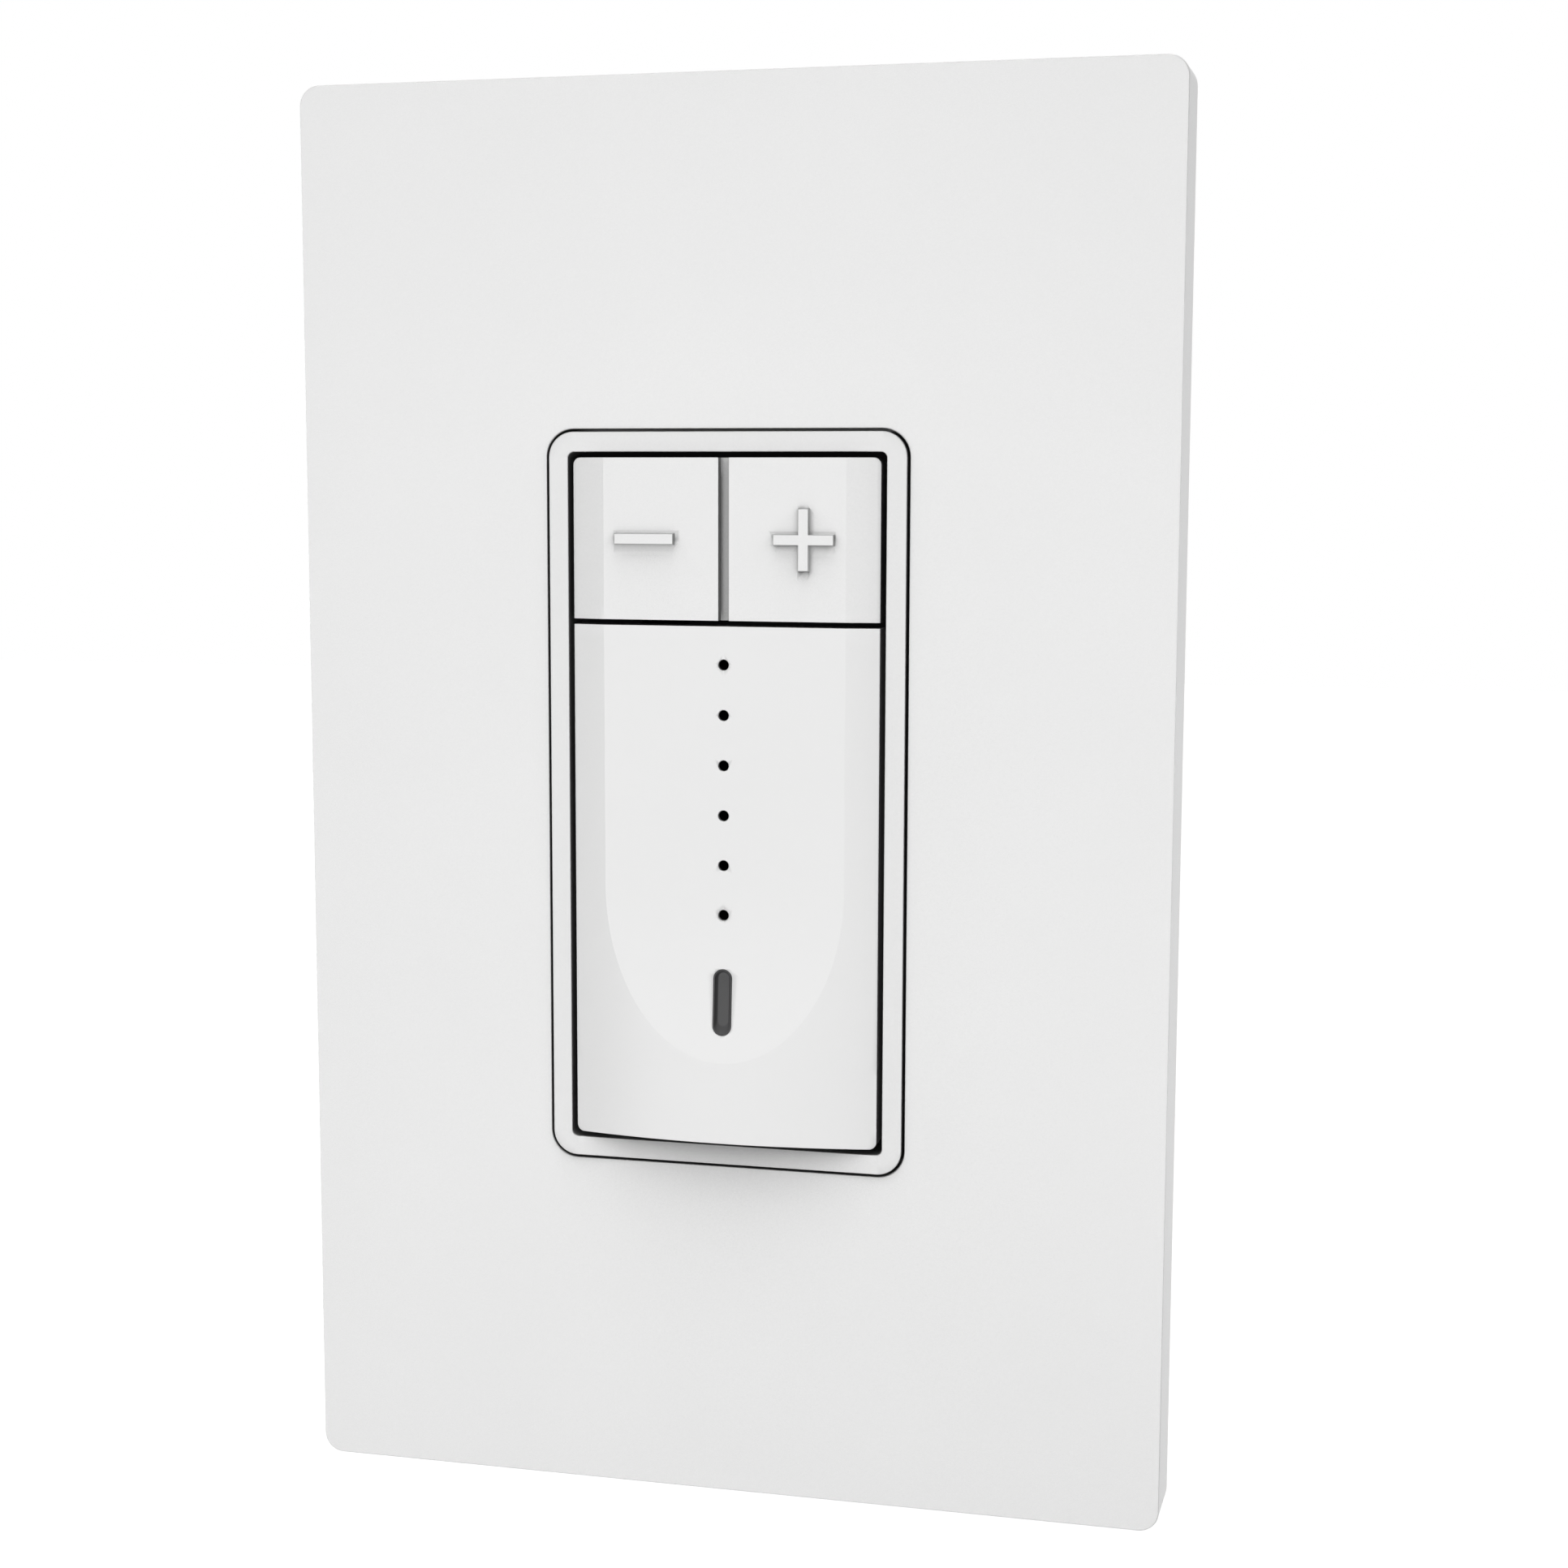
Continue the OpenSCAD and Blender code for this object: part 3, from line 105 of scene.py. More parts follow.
def addNode(tree, kind, inputs=None, **settings):       # inputs by name or number; gives the outputs
    node = tree.nodes.new(kind)
    for key, value in settings.items():
        setattr(node, key, value)
    for key, value in (inputs or {}).items():
        feed(tree, node.inputs[key], value)
    return node.outputs


def calc(tree, operation, *values):     # a value can be a calculation too, written as a tuple
    values = [calc(tree, *value) if isinstance(value, tuple) else value for value in values]
    return addNode(tree, "ShaderNodeMath", dict(enumerate(values)), operation=operation)[0]


def vectorCalc(tree, operation, *values):
    results = addNode(tree, "ShaderNodeVectorMath", dict(enumerate(values)), operation=operation)
    return results["Value" if operation in ("LENGTH", "DOT_PRODUCT") else "Vector"]


def splitVector(tree, vector):
    return addNode(tree, "ShaderNodeSeparateXYZ", {0: vector})


def joinVector(tree, x, y, z):
    return addNode(tree, "ShaderNodeCombineXYZ", {"X": x, "Y": y, "Z": z})[0]


def mixColour(tree, blend, factor, first, second):
    inputs = {0: factor, 6: first, 7: second}           # the sockets that take colours
    return addNode(tree, "ShaderNodeMix", inputs, data_type="RGBA", blend_type=blend)[2]


def spread(tree, value, low, high, start=0.0, stop=1.0):        # start..stop mapped to low..high
    inputs = {"Value": value, "From Min": start, "From Max": stop, "To Min": low, "To Max": high}
    return addNode(tree, "ShaderNodeMapRange", inputs)["Result"]


def noise(tree, vector, scale, detail):
    inputs = {"Vector": vector, "Scale": scale, "Detail": detail}
    return addNode(tree, "ShaderNodeTexNoise", inputs)["Fac"]


def newGroup(name, kind, inputs, outputs):      # sockets by label, each with its type or first value
    tree = bpy.data.node_groups.new(name, kind)
    for way, sockets in (("INPUT", inputs), ("OUTPUT", outputs)):
        for label, value in sockets.items():
            isType = isinstance(value, str)
            socketType = value if isType else socketTypes[type(value)]
            socket = tree.interface.new_socket(label, in_out=way, socket_type=socketType)
            if not isType:
                socket.default_value = value
    given = tree.nodes.new("NodeGroupInput").outputs
    result = tree.nodes.new("NodeGroupOutput").inputs
    return tree, given, result


# Shader groups that several finishes share
def paintedShadeGroup():             # painted shade, from how open a spot is to the light, leaning to what is overhead
    tree, given, result = newGroup(
        "creviceShade", "ShaderNodeTree",
        {"Reach": 1 * mm, "Power": 1.0, "Lean": 0.0, "On Walls": 0.72}, {"Shade": number})
    plain = addNode(tree, "ShaderNodeNewGeometry")["Normal"]
    facing = splitVector(tree, plain)
    lean = calc(tree, "MULTIPLY", given["Lean"], ("ADD", facing["Z"], 1.0))
    lift = joinVector(tree, 0.0, 0.0, lean)             # none on undersides
    leaning = vectorCalc(tree, "NORMALIZE", vectorCalc(tree, "ADD", plain, lift))
    around = addNode(tree, "ShaderNodeAmbientOcclusion",
                     {"Distance": given["Reach"], "Normal": leaning}, samples=4)
    # A leaning half-sphere is partly cut off by the surface itself
    cosine = vectorCalc(tree, "DOT_PRODUCT", leaning, plain)
    whole = calc(tree, "DIVIDE", ("ADD", cosine, 1.0), 2.0)
    part = calc(tree, "MINIMUM", ("DIVIDE", around["AO"], whole), 1.0)
    dark = calc(tree, "SUBTRACT", 1.0, ("POWER", part, given["Power"]))
    # Walls that stand square to the front are shaded less
    amount = spread(tree, calc(tree, "ABSOLUTE", facing["Y"]), given["On Walls"], 1.0)
    # The painted shade is multiplied into the base colour
    feed(tree, result["Shade"], calc(tree, "SUBTRACT", 1.0, ("MULTIPLY", dark, amount)))
    return tree


def grainGroup():               # the fine texture of a moulded skin, and slow uneven patches
    tree, given, result = newGroup(
        "mouldGrain", "ShaderNodeTree", {"Grain Size": 0.2 * mm, "Patch Size": 12 * mm},
        {"Height": number, "Patches": number})
    place = addNode(tree, "ShaderNodeTexCoord")["Object"]
    for size, detail, label in (("Grain Size", 2.0, "Height"), ("Patch Size", 3.0, "Patches")):
        feed(tree, result[label], noise(tree, place, calc(tree, "DIVIDE", 1.0, given[size]), detail))
    return tree


def brushedGroup():             # fine lines along one axis, as rolled or drawn metal has
    tree, given, result = newGroup(
        "brushedLines", "ShaderNodeTree", {"Lines": (9000.0, 9000.0, 120.0)},
        {"Height": number, "Streak": number})
    place = addNode(tree, "ShaderNodeTexCoord")["Object"]
    stretched = vectorCalc(tree, "MULTIPLY", place, given["Lines"])
    feed(tree, result["Height"], noise(tree, stretched, 1.0, 3.0))
    feed(tree, result["Streak"], noise(tree, stretched, 0.31, 2.0))     # broader than the lines
    return tree


def edgeGroup():                # 1 on edges that hands and tools rub bare
    tree, given, result = newGroup("edgeRub", "ShaderNodeTree", {"Width": 0.2 * mm}, {"Rub": number})
    rounded = addNode(tree, "ShaderNodeBevel", {"Radius": given["Width"]}, samples=6)[0]
    plain = addNode(tree, "ShaderNodeNewGeometry")["Normal"]
    along = vectorCalc(tree, "DOT_PRODUCT", rounded, plain)
    none, full = 0.99, 0.82     # cosines of the angle between the two normals
    feed(tree, result["Rub"], spread(tree, along, 0.0, 1.0, none, full))
    return tree


creviceShade = paintedShadeGroup()
mouldGrain = grainGroup()
brushedLines = brushedGroup()
edgeRub = edgeGroup()


def useGroup(tree, group, **values):
    inputs = {label.replace("_", " "): value for label, value in values.items()}
    return addNode(tree, "ShaderNodeGroup", inputs, node_tree=group)


def startMaterial(name):
    material = bpy.data.materials.new(name)
    material.use_nodes = True
    return material, material.node_tree, material.node_tree.nodes["Principled BSDF"]


def rgba(colour):
    return (*colour, 1.0)


def startFinish(name, look):    # two tones in patches, rubbed edges, and painted shade in crevices and below what stands out
    material, tree, shader = startMaterial(name)
    grain = useGroup(tree, mouldGrain, Grain_Size=look["grain"], Patch_Size=look["patch"])
    colour = mixColour(tree, "MIX", grain["Patches"], rgba(look["colour"]), rgba(look["second"]))
    if "rub" in look:
        worn = useGroup(tree, edgeRub, Width=look["rub"])["Rub"]
        colour = mixColour(tree, "MIX", worn, colour, rgba(look["bare"]))
    # Painted shade: each term darkens the base colour where light is shut out, and with a lean, below
    # what stands out
    for reach, power, lean in look.get("crevices", ()):
        shade = useGroup(tree, creviceShade, Reach=reach, Power=power, Lean=lean)["Shade"]
        colour = mixColour(tree, "MULTIPLY", 1.0, colour, shade)
    feed(tree, shader.inputs["Base Color"], colour)
    return material, tree, shader, grain


def addSurface(tree, shader, look, streaks, height):
    feed(tree, shader.inputs["Roughness"], spread(tree, streaks, *look["rough"]))
    inputs = {"Height": height, "Distance": look["depth"], "Strength": look.get("bump", 1.0)}
    feed(tree, shader.inputs["Normal"], addNode(tree, "ShaderNodeBump", inputs)[0])


def moulded(name, **look):      # plastics, rubbers, resins and paint
    material, tree, shader, grain = startFinish(name, look)
    addSurface(tree, shader, look, grain["Patches"], grain["Height"])
    shader.inputs["Specular IOR Level"].default_value = look.get("specular", 0.5)
    shader.inputs["Coat Weight"].default_value = look.get("coat", 0.0)
    return material


# Metals get a painted shade in their crevices too
metalBase = {"grain": 0.3 * mm, "rub": 0.15 * mm, "crevices": ((1.2 * mm, 0.7, 0.0),), "bump": 0.6}


def metal(name, **look):
    look = {**metalBase, **look}
    material, tree, shader, _ = startFinish(name, look)
    brushed = useGroup(tree, brushedLines, Lines=look["lines"])
    addSurface(tree, shader, look, brushed["Streak"], brushed["Height"])
    shader.inputs["Metallic"].default_value = 1.0
    return material


# Finishes, by the record's slot names
whiteLook = {
    "colour": (0.835, 0.835, 0.833), "second": (0.822, 0.822, 0.82), "grain": 0.16 * mm,
    "patch": 14 * mm, "rough": (0.27, 0.31), "depth": 0.002 * mm, "specular": 0.75,
    # Reach, power and lean of each painted shade; the leaning one paints a soft shadow below what
    # stands out
    "crevices": ((0.55 * mm, 0.5, 0.0), (9 * mm, 0.9, 0.0), (32 * mm, 1.14, 1.7)),
}
paddleLook = {
    **whiteLook, "colour": (0.793, 0.793, 0.791), "second": (0.78, 0.78, 0.778),
    # The paddle gets the painted shade without the leaning painted shadow
    "crevices": whiteLook["crevices"][:2],
}
rockerLook = {
    **whiteLook,
    "crevices": ((0.7 * mm, 0.5, 0.0), (1.8 * mm, 0.8, 0.0), (32 * mm, 1.14, 1.7)),
}
frameLook = {**whiteLook, "colour": (0.798, 0.798, 0.796), "second": (0.785, 0.785, 0.783)}
finishes = {
    "white_plastic": moulded("whitePlastic", **whiteLook),
    "black_plastic": moulded(
        "blackPlastic", colour=(0.018, 0.018, 0.019), second=(0.024, 0.024, 0.025), grain=0.25 * mm,
        patch=9 * mm, rough=(0.48, 0.6), depth=0.015 * mm, specular=0.35,
        rub=0.25 * mm, bare=(0.045, 0.045, 0.046)),
    "green_screw": moulded(
        "greenLacquer", colour=(0.035, 0.22, 0.08), second=(0.05, 0.28, 0.11), grain=0.4 * mm,
        patch=3 * mm, rough=(0.25, 0.4), depth=0.006 * mm, coat=0.3,
        rub=0.2 * mm, bare=(0.42, 0.45, 0.36)),
    "dome_rubber": moulded(
        "domeRubber", colour=(0.38, 0.39, 0.41), second=(0.45, 0.46, 0.48), grain=0.3 * mm,
        patch=4 * mm, rough=(0.6, 0.75), depth=0.01 * mm),
    "pad_rubber": moulded(
        "thermalPad", colour=(0.46, 0.48, 0.52), second=(0.54, 0.56, 0.6), grain=0.5 * mm,
        patch=5 * mm, rough=(0.7, 0.85), depth=0.03 * mm),
    "led_resin": moulded(
        "clearResin", colour=(0.82, 0.82, 0.7), second=(0.88, 0.88, 0.8), grain=0.2 * mm,
        patch=1 * mm, rough=(0.12, 0.22), depth=0.002 * mm, coat=0.4),
    "ferrite": moulded(
        "sinteredFerrite", colour=(0.06, 0.06, 0.065), second=(0.1, 0.1, 0.105), grain=0.35 * mm,
        patch=4 * mm, rough=(0.6, 0.8), depth=0.05 * mm),
    "red_resin": moulded(
        "castRedResin", colour=(0.42, 0.06, 0.045), second=(0.5, 0.085, 0.06), grain=0.5 * mm,
        patch=6 * mm, rough=(0.25, 0.4), depth=0.01 * mm),
    "blue_sleeve": moulded(
        "shrinkSleeve", colour=(0.025, 0.05, 0.2), second=(0.035, 0.07, 0.26), grain=0.6 * mm,
        patch=5 * mm, rough=(0.2, 0.35), depth=0.008 * mm),
    "fuse_ceramic": moulded(
        "fuseCeramic", colour=(0.7, 0.67, 0.56), second=(0.76, 0.73, 0.62), grain=0.2 * mm,
        patch=3 * mm, rough=(0.35, 0.5), depth=0.006 * mm),
    "circuit_board": moulded(
        "solderResist", colour=(0.015, 0.13, 0.05), second=(0.03, 0.2, 0.08), grain=0.6 * mm,
        patch=2.5 * mm, rough=(0.25, 0.45), depth=0.02 * mm),
    "smoked_lens": moulded(
        "smokedLens", colour=(0.07, 0.07, 0.071), second=(0.074, 0.074, 0.075), grain=0.3 * mm,
        patch=3 * mm, rough=(0.3, 0.36), depth=0.001 * mm, specular=0.16),
    "strap_metal": metal(
        "rolledAluminium", colour=(0.47, 0.475, 0.48), second=(0.53, 0.535, 0.54),
        bare=(0.66, 0.665, 0.67), lines=(7000.0, 7000.0, 90.0), patch=20 * mm, rough=(0.34, 0.5),
        depth=0.006 * mm),
    "steel": metal(
        "zincPlate", colour=(0.58, 0.58, 0.57), second=(0.66, 0.65, 0.6),
        bare=(0.78, 0.78, 0.77), lines=(2500.0, 2500.0, 2500.0), patch=2.5 * mm, rough=(0.24, 0.38),
        depth=0.004 * mm),
    "tinned_copper": metal(
        "tinPlate", colour=(0.62, 0.62, 0.6), second=(0.7, 0.69, 0.67),
        bare=(0.7, 0.5, 0.38), lines=(3000.0, 3000.0, 400.0), patch=3 * mm, rough=(0.28, 0.42),
        depth=0.004 * mm),
    "copper_wire": metal(
        "enamelledCopper", colour=(0.55, 0.22, 0.08), second=(0.64, 0.29, 0.12),
        bare=(0.75, 0.4, 0.2), lines=(900.0, 900.0, 900.0), patch=2 * mm, rough=(0.18, 0.28),
        depth=0.003 * mm),
    "brass": metal(
        "plainBrass", colour=(0.54, 0.38, 0.135), second=(0.61, 0.45, 0.18),
        bare=(0.74, 0.58, 0.28), lines=(5000.0, 300.0, 5000.0), patch=4 * mm, rough=(0.26, 0.4),
        depth=0.005 * mm),
}
frameFinish = moulded("frameWhite", **frameLook)
paddleFinish = moulded("paddleWhite", **paddleLook)
rockerFinish = moulded("rockerWhite", **rockerLook)
# The carrier's own black plastic, made darker than the other black so that the gaps round the keys
# show as painted shade
carrierBlackAndShade = moulded(
    "deepBlack", colour=(0.01, 0.01, 0.011), second=(0.014, 0.014, 0.015), grain=0.25 * mm,
    patch=9 * mm, rough=(0.75, 0.85), depth=0.015 * mm, specular=0.12)
print("finishes made:", len(finishes))


# Mesh helpers
def linkMesh(name, mesh):
    piece = bpy.data.objects.new(name, mesh)
    scene.collection.objects.link(piece)
    return piece


def toMesh(bm, name):
    mesh = bpy.data.meshes.new(name)
    bm.to_mesh(mesh)
    bm.free()
    return mesh


def cleanMesh(bm, name):        # welded, with its faces turned outwards
    bmesh.ops.remove_doubles(bm, verts=bm.verts, dist=weld)
    bmesh.ops.recalc_face_normals(bm, faces=bm.faces)
    return toMesh(bm, name)


def weldedNode(node):
    bm = bmesh.new()
    bm.from_mesh(nodes[node].data)
    bmesh.ops.remove_doubles(bm, verts=bm.verts, dist=weld)
    return bm


def copyNode(node):
    bm = weldedNode(node)
    level = math.radians(0.3)       # triangles this level with each other become one face
    bmesh.ops.dissolve_limit(bm, angle_limit=level, verts=bm.verts, edges=bm.edges)
    return toMesh(bm, node)


def bakeModifiers(piece):       # the evaluated result becomes the piece's own plain mesh
    depsgraph = bpy.context.evaluated_depsgraph_get()
    depsgraph.update()
    mesh = bpy.data.meshes.new_from_object(piece.evaluated_get(depsgraph))
    piece.modifiers.clear()
    piece.data = mesh


def roundEdges(piece, width, segments=3, angle=30):
    bevel = piece.modifiers.new("roundedEdges", "BEVEL")
    bevel.width = width
    bevel.segments = segments
    bevel.limit_method = "ANGLE"
    bevel.angle_limit = math.radians(angle)
    bevel.miter_outer = "MITER_ARC"
    bakeModifiers(piece)


def combine(piece, other, operation):   # union with, difference from or overlap with another mesh
    cutter = linkMesh("cutter", other)
    change = piece.modifiers.new("combine", "BOOLEAN")
    change.operation = operation
    change.object = cutter
    change.solver = "EXACT"
    change.use_self = operation == "UNION"
    bakeModifiers(piece)
    bpy.data.objects.remove(cutter)


def finishPiece(piece, body, slot, node, sharp=30, finish=None, even=True):
    mesh = piece.data
    mesh.materials.clear()
    mesh.materials.append(finish or finishes[slot])
    mesh.shade_smooth()
    mesh.set_sharp_from_angle(angle=math.radians(sharp))
    if even:
        piece.modifiers.new("evenNormals", "WEIGHTED_NORMAL").keep_sharp = True
    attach(piece, body)
    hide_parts(node)


def roundedLoop(width, height, radius, depth, steps=10):
    points = []
    for side, end, start in ((1, 1, 0), (-1, 1, 90), (-1, -1, 180), (1, -1, 270)):
        for step in range(steps + 1):
            angle = math.radians(start + 90 * step / steps)
            x = side * (width / 2 - radius) + radius * math.cos(angle)
            z = end * (height / 2 - radius) + radius * math.sin(angle)
            points.append(Vector((x, depth, z)))
    return points


def bridge(bm, first, second):      # faces between two rings of equal count
    for i in range(len(first)):
        j = (i + 1) % len(first)
        bm.faces.new((first[i], first[j], second[j], second[i]))


def loft(name, loops, ends="capped"):   # a skin over loops; its ends are capped, joined or left open
    bm = bmesh.new()
    rings = [[bm.verts.new(point) for point in loop] for loop in loops]
    if ends == "capped":
        bm.faces.new(rings[0])
        bm.faces.new(rings[-1])
    elif ends == "joined":
        rings.append(rings[0])
    for first, second in zip(rings, rings[1:]):
        bridge(bm, first, second)
    return cleanMesh(bm, name)


def turned(profile, steps=32):      # a profile of radius and depth, turned about Y
    angles = [2 * math.pi * i / steps for i in range(steps)]
    loops = [[Vector((radius * math.cos(a), depth, radius * math.sin(a))) for a in angles]
             for radius, depth in profile]
    return loft("turned", loops, "open")


def placed(mesh, offset):
    for vert in mesh.vertices:
        vert.co += Vector(offset)
    return mesh


# Wall plate: a shallow drafted cover
plateShape = {
    "draft": 0.2 * mm,
    "wall": 1.8 * mm,
    "corner": 1.8 * mm,
    "innerCorner": 0.8 * mm,
    "opening": (33.2 * mm, 66.8 * mm, 2.5 * mm),    # width, height, corner
    "edge": 0.14 * mm,
    "root": 0.3 * mm,           # how deep a post or hook is set into the wall it stands on
    "post": (2 * mm, 28 * mm, 45 * mm),             # radius, and place from the middle
    "postEdge": 0.2 * mm,
    "hook": (8 * mm, 0.9 * mm, 0.95 * mm),          # width, thickness, reach
    "hookSlope": 0.45,          # share of its thickness
    "hookX": 20 * mm,
    "hookBack": -0.5 * mm,
}


def platePost(shape, inner):
    radius, edge = shape["post"][0], shape["postEdge"]
    root = inner - shape["root"]
    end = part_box("mounting_subplate")[0].y
    return turned([(0, root), (radius, root), (radius, end - edge), (radius - edge, end), (0, end)])


def plateHook(shape, x, wallZ, tipZ):       # a snap hook, sloped on its leading side
    width, thick, _ = shape["hook"]
    back = shape["hookBack"]
    slope = back - thick * shape["hookSlope"]
    section = [(back, wallZ), (back - thick, wallZ), (back - thick, tipZ), (slope, tipZ)]
    loops = [[Vector((x + end * width / 2, y, z)) for y, z in section] for end in (-1, 1)]
    return loft("hook", loops)


def wallPlate(shape):
    low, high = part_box("wall_plate")
    front, back = low.y, high.y
    inner = front + shape["wall"]
    wide, tall = high.x - low.x, high.z - low.z
    faceW, faceH = wide - 2 * shape["draft"], tall - 2 * shape["draft"]
    hollow = (faceW - 2 * shape["wall"], faceH - 2 * shape["wall"], shape["innerCorner"])
    loops = [
        roundedLoop(wide, tall, shape["corner"] + shape["draft"], back),
        roundedLoop(faceW, faceH, shape["corner"], front),
        roundedLoop(*shape["opening"], front),
        roundedLoop(*shape["opening"], inner),
        roundedLoop(*hollow, inner),
        roundedLoop(*hollow, back),
    ]
    piece = linkMesh("wallPlate", loft("wallPlate", loops, "joined"))
    roundEdges(piece, shape["edge"])
    _, postX, postZ = shape["post"]
    for side in (-1, 1):
        for end in (-1, 1):
            post = placed(platePost(shape, inner), (side * postX, 0, end * postZ))
            combine(piece, post, "UNION")
            wallZ = end * hollow[1] / 2
            tipZ = wallZ - end * shape["hook"][2]
            hook = plateHook(shape, side * shape["hookX"], wallZ + end * shape["root"], tipZ)
            combine(piece, hook, "UNION")
    finishPiece(piece, "base", "white_plastic", "wall_plate")


wallPlate(plateShape)
print("wall plate made")

# Front frame: the rim round the keys, with its foot under the plate
frameShape = {                  # width, height and corner of each outline
    "rim": (32.76 * mm, 66.36 * mm, 2.28 * mm),
    "inside": (29.16 * mm, 62.76 * mm, 0.55 * mm),
    "seat": (30.76 * mm, 64.36 * mm, 0.55 * mm),
    "footCorner": 2 * mm,
    "footThick": 1.2 * mm,
    "edge": 0.1 * mm,
}


def frontFrame(shape):
    low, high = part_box("front_frame")
    front, back = low.y, high.y
    foot = back - shape["footThick"]
    outer = (high.x - low.x, high.z - low.z, shape["footCorner"])
    rim, seat, inside = shape["rim"], shape["seat"], shape["inside"]
    section = [(rim, front), (rim, foot), (outer, foot), (outer, back),
               (seat, back), (seat, foot), (inside, foot), (inside, front)]
    loops = [roundedLoop(*outline, depth) for outline, depth in section]
    piece = linkMesh("frontFrame", loft("frontFrame", loops, "joined"))
    roundEdges(piece, shape["edge"])
    finishPiece(piece, "base", "white_plastic", "front_frame", finish=frameFinish)


frontFrame(frameShape)
print("front frame made")


# Geometry tree helpers
def newGeometry(name, inputs):
    sockets = {"Geometry": geometry, **inputs, "Material": "NodeSocketMaterial"}
    return newGroup(name, "GeometryNodeTree", sockets, {"Geometry": geometry})


def spotParts(tree):            # the X, Y and Z of each point
    return splitVector(tree, addNode(tree, "GeometryNodeInputPosition")[0])


def moved(tree, mesh, x, y, z, chosen=True):        # the chosen points set to a worked-out place
    inputs = {"Geometry": mesh, "Selection": chosen, "Position": joinVector(tree, x, y, z)}
    return addNode(tree, "GeometryNodeSetPosition", inputs)[0]


def paintResult(tree, given, result, mesh):         # every tree ends with this
    whole = addNode(tree, "GeometryNodeRealizeInstances", {0: mesh})[0]
    inputs = {"Geometry": whole, "Material": given["Material"]}
    feed(tree, result["Geometry"], addNode(tree, "GeometryNodeSetMaterial", inputs)[0])
    return tree


def useTree(piece, tree, **values):     # adds the tree to the piece, sets its inputs and bakes it
    modifier = piece.modifiers.new(tree.name, "NODES")
    modifier.node_group = tree
    for item in tree.interface.items_tree:
        key = item.name.replace(" ", "_")
        if item.in_out == "INPUT" and key in values:
            modifier[item.identifier] = values[key]
    bakeModifiers(piece)


# Keys: both share one rounded face, which a scoop flattens
keyShape = {
    "corner": 0.65 * mm,
    "cornerSteps": 6,
    "wall": 1.2 * mm,
    "faceThick": 1.6 * mm,
    "drum": 67.5 * mm,          # radius across the face
    "runOut": 139 * mm,         # radius of the scoop's run-out
    "runOutRise": 23.38 * mm,   # from the paddle's bottom to where it starts
    "signHeight": 0.35 * mm,    # of the minus and the plus, above the flat
    "edge": 0.018 * mm,         # less than the first row of a corner
    "sliver": 0.002 * mm,       # edges this short are what the bevel and the cuts leave
    "insideGap": 0.005 * mm,    # between the shell and what stands inside it
    "insideDepth": 5 * mm,
}
paddleLow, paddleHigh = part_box("tap_paddle")
rockerLow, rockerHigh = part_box("dim_rocker")
keyHalf = paddleHigh.x
crestY = paddleLow.y
flatY = rockerLow.y + keyShape["signHeight"]
shellY = flatY + keyShape["faceThick"]
runOutZ = paddleLow.z + keyShape["runOutRise"]


def keyRuleTree():              # moves the front of a key onto its rounded and scooped face
    tree, given, result = newGeometry("keyFaceRule", {
        "Drum Radius": 67.5 * mm, "Crest Depth": 0.0, "Flat Depth": 0.0,
        "Scoop Start": 0.0, "Scoop Radius": 139 * mm})
    spot = spotParts(tree)

    def sag(radius, along):     # how far an arc has left its tangent
        inside = ("SUBTRACT", ("MULTIPLY", radius, radius), ("MULTIPLY", along, along))
        return calc(tree, "SUBTRACT", radius, ("SQRT", inside))

    drum = calc(tree, "ADD", given["Crest Depth"], sag(given["Drum Radius"], spot["X"]))
    below = calc(tree, "MAXIMUM", ("SUBTRACT", given["Scoop Start"], spot["Z"]), 0.0)
    scoop = calc(tree, "SUBTRACT", given["Flat Depth"], sag(given["Scoop Radius"], below))
    face = calc(tree, "MAXIMUM", drum, scoop)
    front = addNode(tree, "GeometryNodeInputNamedAttribute", {"Name": "front"}, data_type="BOOLEAN")
    key = moved(tree, given["Geometry"], spot["X"], face, spot["Z"], front["Attribute"])
    return paintResult(tree, given, result, key)


keyFaceRule = keyRuleTree()


def scoopDepth(z):
    below = max(runOutZ - z, 0)
    return flatY - keyShape["runOut"] + math.sqrt(keyShape["runOut"] ** 2 - below ** 2)


def creaseX(z):                 # half the scoop's width at height z
    depth = max(scoopDepth(z) - crestY, 0)
    return math.sqrt(2 * keyShape["drum"] * depth - depth ** 2)


def keyEdgeX(z, roundEnd):      # half the key's width at height z; the corners at one end are round
    corner = keyShape["corner"]
    inward = abs(z - roundEnd)
    if inward >= corner:
        return keyHalf
    return keyHalf - corner + math.sqrt(max(corner ** 2 - (corner - inward) ** 2, 0))


def cornerRows():               # distances from a key's end, round one corner
    steps = keyShape["cornerSteps"]
    return [keyShape["corner"] * (1 - math.cos(math.pi / 2 * i / steps)) for i in range(steps + 1)]


def evenly(first, last, count):
    return [first + (last - first) * i / count for i in range(count + 1)]


